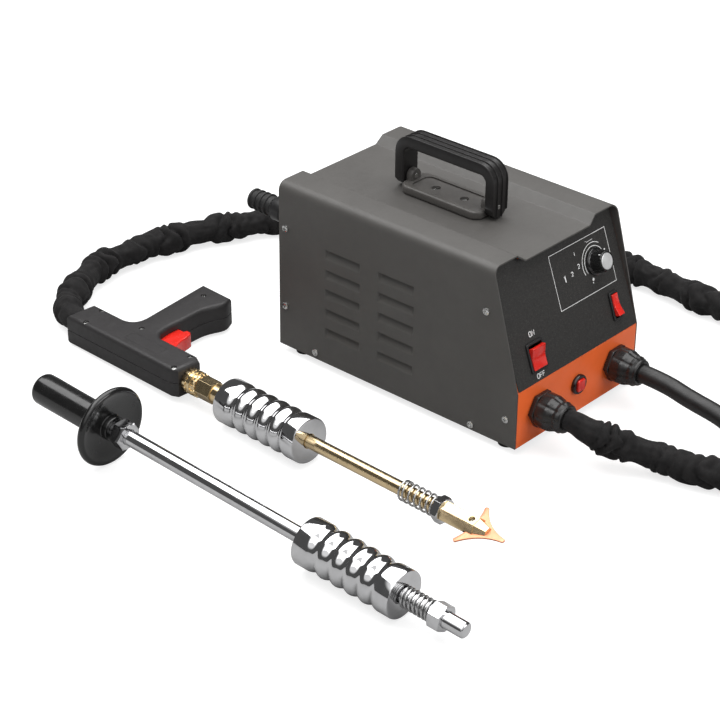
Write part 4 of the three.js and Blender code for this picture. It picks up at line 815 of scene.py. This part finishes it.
def make_print():
    """Generic print: a framed panel with two arcs round the knob, numbers, dots and the switch's words."""
    x0, x1, y0, y1, line = -10, 83, 54, 112.5, 0.55
    shapes = [(rectangle(x0, y0, x1, y1), rectangle(x0 + line, y0 + line, x1 - line, y1 - line))]
    for radius, start, end in ((16.3, 31, 210), (20.2, 54, 205)):
        shapes.append(stroke(arc(KNOB[0], KNOB[1], radius, start, end, 40), 0.7))
    for x, y, r in ((75.3, 90.7, 0.9), (48.4, 67.6, 1.7), (47.3, 64.3, 0.8), (49.3, 107.7, 0.5)):
        shapes.append((disc(r, 20, x, y), None))
    shapes += letters("1", 4.5, 79, 7, 1.2) + letters("2", 17.5, 81.5, 4.2, 0.9)
    shapes += [stroke([(28.8, 99.8), (28.8, 103.4)], 0.7), stroke([(50.5, 106.5), (60.5, 106.9)], 0.5)]
    shapes += letters("2", 29.6, 85.5, 4.4, 0.8)
    ink("fascia_marks", shapes)
    ink("switch_words", letters("ON", -64, 47.6, 5, 0.9) + letters("OFF", -66.4, 4.3, 4.6, 0.85))


def make_knob():
    place = FASCIA @ move(*KNOB, 0)
    flutes, foot, top = 18, SEAT + 3, 17.2

    def fluted(r, h, a):
        if h < foot + 0.6 or h > top - 0.3 or r < 9.6:
            return 1
        return 1 - 0.035 * (0.5 + 0.5 * cos(a * flutes)) ** 3

    profile = [(0, SEAT), (14.2, SEAT), (14.5, SEAT + 0.3), (14.5, SEAT + 1.7), (14.1, foot - 0.6),
               (13.2, foot), (12.6, foot + 0.2), (12.45, foot + 0.7), (11.9, 8), (11.2, 12.5),
               (10.6, 16.2), (10.3, 16.9), (9.9, top), (9.1, top), (8.9, 17), (8.9, 15.9), (0, 15.9)]
    knob = lathe("selector_knob", profile, place, 144, scale=fluted)
    dress(knob, "gloss_black", "selector_knob", "knob")
    cap = lathe("selector_cap", [(0, 16.2), (8.5, 16.2), (8.6, 16.3), (8.6, 16.9), (8.3, 17.2),
                                 (7.6, 17.25), (3, 17.2), (0, 17.15)], place, 72)
    dress(cap, "bright_cap", "selector_knob", "knob_cap")
    # A painted highlight: a small white mark on the knob's upper left side, where the lamp's glint falls on
    # the glossy body.
    line = prism("knob_painted_highlight", rounded(1.1, 3.2, 0.3, 0, 0), -0.15, 0.12,
                 place @ turn(35, "Z") @ move(0, 10.95, 13.8) @ turn(-98, "X"))
    dress(line, "white_ink", "selector_knob")


def make_switch(name, body, x, s, width, height, tilt):
    place = FASCIA @ move(x, s, 0)
    top, rim, wall, floor_depth, rise_angle = SEAT + 2, 1.6, 0.8, 11.5, 10
    inner_w, inner_h = width - 2 * rim, height - 2 * rim
    bezel = prism(f"{name}_bezel", rounded(width, height, 2.2, steps=6), SEAT, top, place, 0.7)
    block = prism("block", rounded(inner_w, inner_h, 0.4), -22, SEAT + 1, place)
    blades = [prism("blade", rounded(6, 0.9, 0.2, 0, y * 9), -30, -21, place) for y in (-1, 0, 1)]
    boolean(bezel, [block, *blades], "UNION")
    pocket_w, pocket_h = inner_w - 2 * wall, inner_h - 2 * wall
    boolean(bezel, [prism("pocket", rounded(pocket_w, pocket_h, 0.8), top - floor_depth, top + 6, place)])
    dress(bezel, "black_plastic", "power_unit", f"{name}_housing")

    reach, half = pocket_h / 2 - 1.5, pocket_w / 2 - 0.3
    rise = reach * tan(radians(rise_angle))
    crown = top + 3
    sag = [(reach * k / 10, crown + rise * abs(k / 10) ** 1.25) for k in range(10, -11, -1)]
    profile = [(reach, crown - 2), *sag, (-reach, crown - 2), (-reach / 2, -4.8), (reach / 2, -4.8)]
    pivot = place @ move(0, 0, -1.5) @ turn(tilt, "X")
    # The profile is (along, up): raised along X, then turned to face out of the slope.
    stand = pivot @ Matrix(((0, 0, 1, 0), (1, 0, 0, 0), (0, 1, 0, 0), (0, 0, 0, 1)))
    rocker = prism(f"{name}_key", profile, -half, half, stand, 0.55, segments=3, limit=35)
    dress(rocker, "red_plastic", body, f"{name}_rocker")


def make_button():
    place = FRONT @ move(0, 33.6, 0)
    profile = [(0, -20), (9.4, -20), (9.4, CLEAR), (10.6, CLEAR), (10.8, 0.6), (10.8, 2.6), (10.5, 3.7),
               (9.9, 4.3), (9.2, 4.25), (0, 3.9)]
    bezel = lathe("button_ring", profile, place, 72)
    boolean(bezel, [prism("well", rounded(13, 14, 2.7, steps=6), -13, 10, place)])
    dress(bezel, "gloss_black", "power_unit", "button_bezel")
    cap = prism("button_key", rounded(12, 13, 2.5, steps=6), 6.3 - 16, 6.3, place, 1.1, segments=4)
    dress(cap, "red_plastic", "push_button", "button_cap")


make_print()
make_knob()
make_switch("main_switch", "main_rocker", *MAIN_SWITCH)
make_switch("mode_switch", "mode_rocker", *MODE_SWITCH)
make_button()


# Cable glands
def make_gland(name, x, mouth, seal):
    """A gland's body and its ribbed nut, for a cable as wide as the seal."""
    place = FRONT @ move(x, 33, 0)
    flat, flange, nut, length, thread = 35, 6.5, 38, 36, 14.5
    start, shoulder = flange + CLEAR, length - 14
    body = lathe(f"{name}_gland_body", [(0, -12), (thread, -12), (thread, 0.3), (thread, shoulder),
                                        (seal / 2, shoulder + 0.2), (seal / 2, length), (0, length)],
                 place, 64)
    collar = prism("collar", hexagon(flat), CLEAR, flange, place, 1.3, segments=4)
    boolean(body, [collar], "UNION")
    dress(body, "gland_plastic", "power_unit", f"{name}_gland")

    lip, bore = seal / 2 + CLEAR, thread + CLEAR
    outside = [(bore, start), (nut / 2 - 0.8, start), (nut / 2, start + 0.8), (nut / 2, shoulder - 4.5),
               (nut / 2 - 0.5, shoulder - 2), (nut / 2 - 1.8, shoulder + 1), (nut / 2 - 2.9, shoulder + 4.5),
               ((nut + mouth) / 4 + 0.4, shoulder + 8), (mouth / 2 + 1.6, shoulder + 11),
               (mouth / 2 + 1.5, length - 1.2), (mouth / 2 + 0.6, length),
               (lip, length), (lip, shoulder + CLEAR), (bore, shoulder + CLEAR)]
    fingers = 8

    def ribbed(r, h, a):
        wave = (0.5 + 0.5 * cos(a * fingers)) ** 5
        if start - 1 < h < shoulder + 8 and r > bore + 0.5:
            return 1 - 0.06 * wave * soft_step(h, start, start + 4)
        if h >= shoulder + 8 and r > lip + 1:
            return 1 - 0.05 * wave * (1 - soft_step(h, shoulder + 8, shoulder + 11))
        return 1

    cap = lathe(f"{name}_gland_cap", outside, place, 144, closed=True, scale=ribbed, radius=0.6)
    dress(cap, "gland_plastic", "power_unit", f"{name}_gland_nut")


make_gland("torch", -62.3, 27, 21)
make_gland("earth", 62.3, 25, 20)


def make_mains_gland():
    """The gland at the back, with its ribbed strain relief and no cable."""
    place = CAB @ move(-75, LENGTH - 1.2, 143.4) @ turn(-90, "X")
    profile = [(5, -13.5), (9, -13.5), (9, CLEAR), (12.9, CLEAR), (13.3, 0.8), (13.3, 12), (12.7, 12.6),
               (12.7, 14), (13.3, 14.6), (13.3, 26.6), (12.9, 27.4), (10.6, 30), (5, 30)]
    dress(lathe("mains_gland_ring", profile, place, 72, closed=True), "black_plastic", "power_unit",
          "mains_gland")
    start, length, root, tip, ribs = 30.3, 62, 10.6, 9.6, 4
    pitch = (length - 1.8 - start) / ribs
    points = [(5, start), (root, start)]
    for i in range(ribs):
        h = start + pitch * (i + 1)
        r = root + (tip - root) * (h - start) / (length - start)
        points += [(r, h - 1.7), (r + 1.3, h - 1.3), (r + 1.8, h - 0.5), (r + 1.8, h + 0.5),
                   (r + 1.3, h + 1.3), (r, h + 1.7)]
    points += [(tip - 0.4, length), (5.6, length), (5, length - 0.8)]
    dress(lathe("mains_strain_relief", points, place, 72, closed=True, radius=0.3), "rubber",
          "power_unit", "strain_relief")


make_mains_gland()


# Sliding weights, bars and springs
def weight_profile(start, bore):
    """A weight with a band at each end, and turned waves between them."""
    band, wave, waves, chamfer = 15.8, 2.6, 5, 1.5
    span, steps = WEIGHT_LENGTH - 2 * band, waves * 14
    end = [(bore, 0.8), (bore + 0.8, 0), (WEIGHT_R - chamfer, 0), (WEIGHT_R - 0.4, 0.45),
           (WEIGHT_R, chamfer)]
    turned = [(WEIGHT_R - wave * (1 - cos(2 * pi * waves * i / steps)) / 2, start + band + span * i / steps)
              for i in range(steps + 1)]
    return ([(r, start + h) for r, h in end] + turned
            + [(r, start + WEIGHT_LENGTH - h) for r, h in reversed(end)])


def hex_bar(name, flat, start, end, place, bore=0.0, turned=0.0):
    """A hexagonal nut or bar with its corners turned off, drilled where bore is given."""
    bar = prism(name, hexagon(flat, turned), start, end, place, 0.25, segments=2)
    corner = flat / sqrt(3)
    drop = (corner - flat / 2) * 0.62
    shape = [(0, start), (flat / 2 - 0.1, start), (corner + 0.4, start + drop),
             (corner + 0.4, end - drop), (flat / 2 - 0.1, end), (0, end)]
    boolean(bar, [lathe("turned", shape, place, 72)], "INTERSECT", 25)
    if bore:
        boolean(bar, [cylinder("bore", bore, start - 5, end + 5, place, 48)], "DIFFERENCE", 25)
    return bar


def spring(name, place, radius, wire, length, coils):
    """An open coil spring with a closed coil at each end, from the place along its Z."""
    turns, closed = coils + 2, 2 * wire + 0.6
    rise = length - 2 * wire - 2 * closed
    path = []
    for i in range(turns * 40 + 1):
        t = i / 40
        h = wire + min(t, 1) * closed + max(t - turns + 1, 0) * closed
        h += rise * min(1, max(0, (t - 1) / coils))
        path.append(Vector(((radius - wire) * cos(2 * pi * t),
                            (radius - wire) * sin(2 * pi * t), h)))
    return tube(name, path, wire, place, 14, uv=False, angle=60)


def make_slider(tool, body, axis, bore, weight, coil, nut, turned=0):
    """A rod's weight, with the spring and the nut that stop it.

    The coil is (place, radius, wire, length), and the nut (piece, node, width, start, end).
    """
    slider = lathe(f"{tool}_slider", weight_profile(weight, bore), axis, 128, closed=True, angle=40)
    dress(slider, "chrome", f"{tool}_sliding_weight", f"{tool}_weight")
    place, *sizes = coil
    stop = spring(f"{tool}_stop_spring", axis @ move(0, 0, place), *sizes, 5)
    dress(stop, "spring_steel", body, f"{tool}_spring")
    piece, stands_for, *sizes = nut
    dress(hex_bar(piece, *sizes, axis, bore, turned), "chrome", body, stands_for)


# Slide hammer
def make_hammer():
    place = HAMMER_AXIS
    rod_r, bore, rod_start, rod_end = 8, 8.3, 51, 559.5
    dome = [(16.4 * sin(a), 9 - 9 * cos(a)) for a in (pi / 2 * k / 12 for k in range(13))]
    edge, boss_end = 4, 111
    rim = arc(GUARD_R - edge, GUARD_PLACE, edge, -90, 90, 16)
    profile = [*dome, (16.5, 18), (16.3, 40), (16.2, 60), (16.3, 88), (16.5, 97), (18, 99.2), (22, 100),
               *rim, (36.4, 107.4), (34, 106.5), (30, 105.6), (25, 104.9), (20, 104.5), (13.6, 104.3),
               (13, 105), (13, boss_end - 0.8), (12.4, boss_end), (bore, boss_end), (bore, rod_start),
               (0, rod_start)]
    dress(lathe("hammer_handle", profile, place, 120, angle=40), "gloss_black", "slide_hammer",
          "hammer_grip")
    dress(hex_bar("hammer_nut", 26, 118, 131, place, bore), "chrome", "slide_hammer", "hammer_lock_nut")
    rod = [(0, rod_start + CLEAR), (rod_r, rod_start + CLEAR), (rod_r, rod_end - 1.7),
           (rod_r - 0.3, rod_end - 0.9), (rod_r - 1.4, rod_end), (0, rod_end)]
    dress(lathe("hammer_shaft", rod, place, 64), "chrome", "slide_hammer", "hammer_rod")
    make_slider("hammer", "slide_hammer", place, bore, HAMMER_WEIGHT, (487.8, 10.6, 1.5, 35),
                ("hammer_end", "hammer_end_nut", 24, 523.1, 537.1), 30)


make_hammer()

# Welding gun. Outline points are (towards the grip, forward from the rear end).
HALF, REACH, REAR, HEEL, NECK, NOSE = 19.2, 134.5, 67, 51, 40, 9
LEAN = tan(radians(9.8))
GRIP_SHARES = [(0.99, 0.93), (0.9, 1), (0.84, 0.955), (0.78, 0.87), (0.7, 0.79), (0.6, 0.755),
               (0.48, 0.735), (0.32, 0.68), (0.2, 0.7)]
# The trigger's opening: from and to towards the grip, from and to along the gun, and its half thickness
SLOT = (23.5, 57, 80.5, 130, 8.5)


def grip_rear(x):
    return REAR - (x - HALF) * LEAN


def gun_outline():
    root = grip_rear(HALF)
    rear = bend(Vector((HALF, root - 20)), Vector((HALF, root)),
                Vector((HALF + 20, grip_rear(HALF + 20))), 10)
    front = [Vector((a * REACH, grip_rear(a * REACH) + b * HEEL, 0)) for a, b in GRIP_SHARES]
    points = [(-HALF, 0), (HALF, 0), *rear, (REACH, grip_rear(REACH)),
              *[p.xy for p in smooth_path(front, 4)[0]],
              (HALF + 0.9, root + NECK + 2), (HALF, root + NECK + 5), (HALF, GUN_LENGTH - NOSE),
              (HALF - NOSE / 2, GUN_LENGTH), (NOSE / 2 - HALF, GUN_LENGTH), (-HALF, GUN_LENGTH - NOSE)]
    return [(x, -a) for x, a in points]


def offset_outline(points, inset):
    """The outline moved inward, for a list of points that runs either way round."""
    area = sum(x0 * y1 - x1 * y0 for (x0, y0), (x1, y1) in zip(points, points[1:] + points[:1]))
    sign = 1 if area > 0 else -1
    out = []
    for i, point in enumerate(points):
        here = Vector(point)
        a = (here - Vector(points[i - 1])).normalized()
        b = (Vector(points[(i + 1) % len(points)]) - here).normalized()
        na, nb = Vector((-a.y, a.x)) * sign, Vector((-b.y, b.x)) * sign
        middle = (na + nb if (na + nb).length > 1e-6 else na).normalized()
        out.append(tuple(here + middle * (inset / max(0.35, middle.dot(na)))))
    return out


def gun_half(name, side):
    """One shell half: rounded outside, with a small bevel at the seam."""
    outline = gun_outline()
    edge, half = 5.0, GUN_THICK / 2
    layers = [(0.35, 0.15), (0, 0.5), (0, half - edge)]
    layers += [(edge * (1 - cos(a)), half - edge + edge * sin(a))
               for a in (pi / 2 * k / 6 for k in range(1, 7))]
    bm = bmesh.new()
    rings = [[bm.verts.new((x, y, side * z)) for x, y in offset_outline(outline, inset)]
             for inset, z in layers]
    skin(bm, rings, caps=False)
    bm.faces.new(rings[0])
    bm.faces.new(list(reversed(rings[-1])))
    shell = finish_mesh(name, bm, GUN, 30)
    hollow = prism("hollow", offset_outline(outline, 2.6), -14, 14, GUN)
    nose = cylinder("nose", 9.3, 154, 190, GUN_AXIS, 40)
    low, high, back, front, deep = SLOT
    slot = prism("slot", rectangle(low, -front, high, -back), -deep, deep, GUN)
    return boolean(shell, [hollow, nose, slot], "DIFFERENCE", 30)


GUN_SCREWS = [(27, -14.2), (19, 14.2), (81, 18), (69.5, 115.4), (166, 12.5), (171, -14.2)]


def make_gun_body():
    upper, lower = gun_half("gun_upper", 1), gun_half("gun_lower", -1)
    wells = [lathe("well", [(0, 15.2), (3.1, 15.2), (3.3, 20), (0, 20)], GUN @ move(b, -a, 0), 28)
             for a, b in GUN_SCREWS]
    boolean(upper, wells, "DIFFERENCE", 30)
    dress(upper, "gun_plastic", "gun", "gun_shell_upper")
    dress(lower, "gun_plastic", "gun", "gun_shell_lower")
    for i, (a, b) in enumerate(GUN_SCREWS):
        screw(f"gun_screw_{i}", GUN @ move(b, -a, 15.1), 2.8, 1.5, "gun", 31 * i)
    # A shallow bare panel outlined on the upper face
    ring = prism("gun_panel_line", rounded(15, 54, 1.2, -0.8, -109.5), 17.42, 17.62, GUN,
                 holes=[rounded(14, 53, 0.9, -0.8, -109.5)])
    dress(ring, "gun_plastic", "gun")


def make_trigger():
    inner, reach, front, heel = HALF + 0.5, 60, 130, 104
    shares = [(0, 1), (0.14, 0.84), (0.34, 0.66), (0.56, 0.53), (0.78, 0.46), (0.93, 0.38), (1, 0.24),
              (1, 0.08), (0.96, 0)]
    edge = [Vector((inner + 0.5 + a * (reach - inner), -heel - b * (front - heel), 0)) for a, b in shares]
    side = [*[p.xy for p in smooth_path(edge[:6], 3)[0] + edge[6:]], (56.5, -104), (56.5, -86),
            (24, -86), (24, -110), (inner, -122)]
    key = prism("gun_trigger_key", side, -8, 8, GUN, 1.5, segments=4, limit=40)
    dress(key, "red_plastic", "gun_trigger", "trigger")


def make_chuck():
    start = GUN_LENGTH + CLEAR
    nut_end, end = start + 20, start + CHUCK_LENGTH
    teeth = 14

    def notched(r, h, a):
        tooth = 1 if cos(a * teeth) > 0.35 else 0
        if r > 11.5 and (h < start + 6.8 or h > nut_end - 6.2):
            return 1 - 0.1 * tooth
        return 1

    profile = [(0, 154), (9, 154), (9, start - 0.1), (11.5, start), (12.8, start + 0.6), (13.5, start + 1.8),
               (13.5, start + 6.7), (12.2, start + 7.2), (12.2, start + 9.4), (13.5, start + 9.9),
               (13.5, nut_end - 6.9), (12.3, nut_end - 6.4), (12.3, nut_end - 6), (13.5, nut_end - 5.2),
               (13.5, nut_end - 1.8), (12.6, nut_end - 0.6), (11.4, nut_end), (10, nut_end + 0.2),
               (10, end - 1.2), (9.2, end), (7.3, end), (7.3, end - 20), (0, end - 20)]
    body = lathe("chuck", profile, GUN_AXIS, 168, scale=notched)
    boolean(body, [hex_bar("hex", 22, nut_end + 0.6, nut_end + 22, GUN_AXIS)], "UNION")
    dress(body, "brass", "gun", "electrode_chuck")
    return end


def star_outline():
    """Three arms with blunt, rounded ends and curved waists."""
    points, reach, blunt, corner, waist_reach = [], 28, 2.1, 0.9, 21
    shoulder = reach - corner
    for i in range(3):
        tip = radians(120 * i)
        along, ahead, waist = (Vector((cos(a), sin(a)))
                               for a in (tip, radians(120 * (i + 1)), tip + radians(60)))
        side = Vector((-along.y, along.x))
        ends = ((shoulder, -blunt), (reach, -blunt + corner), (reach, blunt - corner))
        points += [tuple(along * u + side * v) for u, v in ends]
        first = along * shoulder + side * blunt
        last = ahead * shoulder - Vector((-ahead.y, ahead.x)) * blunt
        points += bend(first, waist * waist_reach - (first + last) / 2, last, 14)[:-1]
    return points


# Along the gun's axis: the rod with its stop spring and nut, and the holder with its nose and the star
ROD_R, ROD_BORE, SPRING_PLACE, SPRING_LENGTH, STOP_NUT = 7, 7.3, 487.5, 46, 8.8
HOLDER_LENGTH, HOLDER_FLAT, NOSE_LENGTH, NOSE_R = 41.5, 19, 12, 5.5
STAR_PLACE, STAR_SLOT_DEPTH, STAR_SLOT_HALF = 588, 14, 1.3


def make_gun_tip(chuck_end):
    nut_start = SPRING_PLACE + SPRING_LENGTH + CLEAR
    holder_start = nut_start + STOP_NUT + CLEAR
    holder_end, rod_end = holder_start + HOLDER_LENGTH, holder_start + HOLDER_LENGTH / 2
    dress(cylinder("gun_shaft", ROD_R, chuck_end - 19.7, rod_end - CLEAR, GUN_AXIS, 56), "brass", "gun",
          "gun_rod")
    make_slider("gun", "gun", GUN_AXIS, ROD_BORE, chuck_end + CLEAR, (SPRING_PLACE, 10.8, 1.1, SPRING_LENGTH),
                ("gun_nut", "gun_stop_nut", 24, nut_start, nut_start + STOP_NUT))

    holder = prism("tip_socket", hexagon(HOLDER_FLAT), holder_start, holder_end, TIP_AXIS, 0.25,
                   segments=2)
    nose_end, nose_root = holder_end + NOSE_LENGTH, HOLDER_FLAT / 2
    cone = lathe("cone", [(0, holder_end - 1), (nose_root, holder_end - 1), (nose_root, holder_end),
                          (NOSE_R, nose_end), (0, nose_end)], TIP_AXIS, 6)
    boolean(holder, [cone], "UNION", 20)
    slot = prism("slot", rectangle(-30, -700, 30, CLEAR + STAR_SLOT_DEPTH - STAR_PLACE),
                 -STAR_SLOT_HALF, STAR_SLOT_HALF, TIP)
    bore = cylinder("bore", ROD_BORE, holder_start - 5, rod_end, TIP_AXIS, 48)
    hole_place = TIP @ move(0, -(holder_end - 6), 0)
    boolean(holder, [slot, bore, cylinder("hole", 3.3, 1, 15, hole_place, 28)], "DIFFERENCE", 20)
    dress(holder, "brass", "gun", "tip_holder")
    set_screw = lathe("tip_screw", [(0, 1.6), (3, 1.6), (3, 6.1), (2.6, 6.6), (0, 6.6)], hole_place, 32)
    boolean(set_screw, [prism("slot", rounded(5, 0.9, 0.1), 5.6, 9, hole_place @ turn(30, "Z"))])
    dress(set_screw, "steel", "gun", "clamp_screw")
    star = prism("copper_star", star_outline(), -1, 1, TIP @ move(0, -STAR_PLACE, 0) @ turn(-90, "Z"),
                 0.35, segments=2, limit=50)
    dress(star, "copper", "gun", "star_tip")


make_gun_body()
make_trigger()
make_gun_tip(make_chuck())

# Floor, backdrop and light
FLOOR_SIZE, FLOOR_WHITE, FLOOR_LIFT, FLOOR_MIRRORED, AMBIENT = 6, 0.42, 0.75, 0.38, 0.36
# The studio as metal mirrors it: a wide soft box over the camera's side, and dark walls
SOFT_BOX, SOFT_EDGE, SOFT_LEVEL, WALL_LEVEL = (-0.43, -0.38, 0.82), (0.66, 0.8), 0.95, 0.09


def seen_ray(tree, *kinds):
    """1 for a ray of one of these kinds, and 0 for any other."""
    path = tree.nodes.new("ShaderNodeLightPath")
    value = path.outputs[kinds[0]]
    for kind in kinds[1:]:
        most = node(tree, "ShaderNodeMath", {0: value, 1: path.outputs[kind]}, operation="MAXIMUM")
        value = most.outputs[0]
    return value


def make_stage():
    mesh = bpy.data.meshes.new("floor")
    corners = rectangle(-FLOOR_SIZE, -FLOOR_SIZE, FLOOR_SIZE, FLOOR_SIZE)
    mesh.from_pydata([(x, y, 0) for x, y in corners], [], [(0, 1, 2, 3)])
    floor = bpy.data.objects.new("floor", mesh)
    floor.location.z = -0.0002
    scene.collection.objects.link(floor)
    material = bpy.data.materials.new("floor_white")
    material.use_nodes = True
    tree = material.node_tree
    seen = seen_ray(tree, "Is Camera Ray", "Is Transmission Ray")
    lift = node(tree, "ShaderNodeMath", {0: seen, 1: FLOOR_LIFT}, operation="MULTIPLY")
    # Metal mirrors the floor a little darker, so that its underside stands off the white.
    tone = node(tree, "ShaderNodeMapRange", {"Value": seen_ray(tree, "Is Glossy Ray"),
                                             "To Min": FLOOR_WHITE, "To Max": FLOOR_MIRRORED})
    for key, value in {"Roughness": 0.9, "Specular IOR Level": 0.1, "Emission Color": (1, 1, 1, 1),
                       "Emission Strength": lift.outputs[0], "Base Color": tone.outputs["Result"]}.items():
        plug(tree, tree.nodes["Principled BSDF"].inputs[key], value)
    mesh.materials.append(material)


def make_world():
    world = bpy.data.worlds.new("studio")
    scene.world = world
    world.use_nodes = True
    tree = world.node_tree
    coords = tree.nodes.new("ShaderNodeTexCoord")
    facing = node(tree, "ShaderNodeVectorMath", {0: coords.outputs["Generated"], 1: SOFT_BOX},
                  operation="DOT_PRODUCT")
    sky = node(tree, "ShaderNodeMapRange", {
        "Value": facing.outputs["Value"], "From Min": SOFT_EDGE[0], "From Max": SOFT_EDGE[1],
        "To Min": WALL_LEVEL, "To Max": SOFT_LEVEL}, interpolation_type="SMOOTHSTEP")
    level = AMBIENT
    for kinds, shown in ((["Is Glossy Ray"], sky.outputs["Result"]),
                         (["Is Camera Ray", "Is Transmission Ray"], 1.0)):
        level = node(tree, "ShaderNodeMix", {0: seen_ray(tree, *kinds), 2: level, 3: shown},
                     data_type="FLOAT").outputs[0]
    background = tree.nodes["Background"]
    background.inputs["Color"].default_value = (1, 1, 1, 1)
    plug(tree, background.inputs["Strength"], level)


def lamp(name, place, target, size, power):
    data = bpy.data.lights.new(name, "AREA")
    data.shape, data.energy = "RECTANGLE", power
    data.size, data.size_y = size
    obj = bpy.data.objects.new(name, data)
    obj.location = place
    obj.rotation_euler = (Vector(target) - Vector(place)).to_track_quat("-Z", "Y").to_euler()
    scene.collection.objects.link(obj)


make_stage()
make_world()
lamp("key", (-1.5, -0.6, 2.0), (0, 0, 0.05), (1.6, 1.2), 8)
lamp("top", (0.3, 0.5, 2.3), (0, 0, 0), (3.4, 2.8), 100)
lamp("front", (0.5, -2.2, 1.1), (0.1, -0.1, 0.1), (1.2, 1.0), 16)
scene.view_settings.view_transform = "Standard"
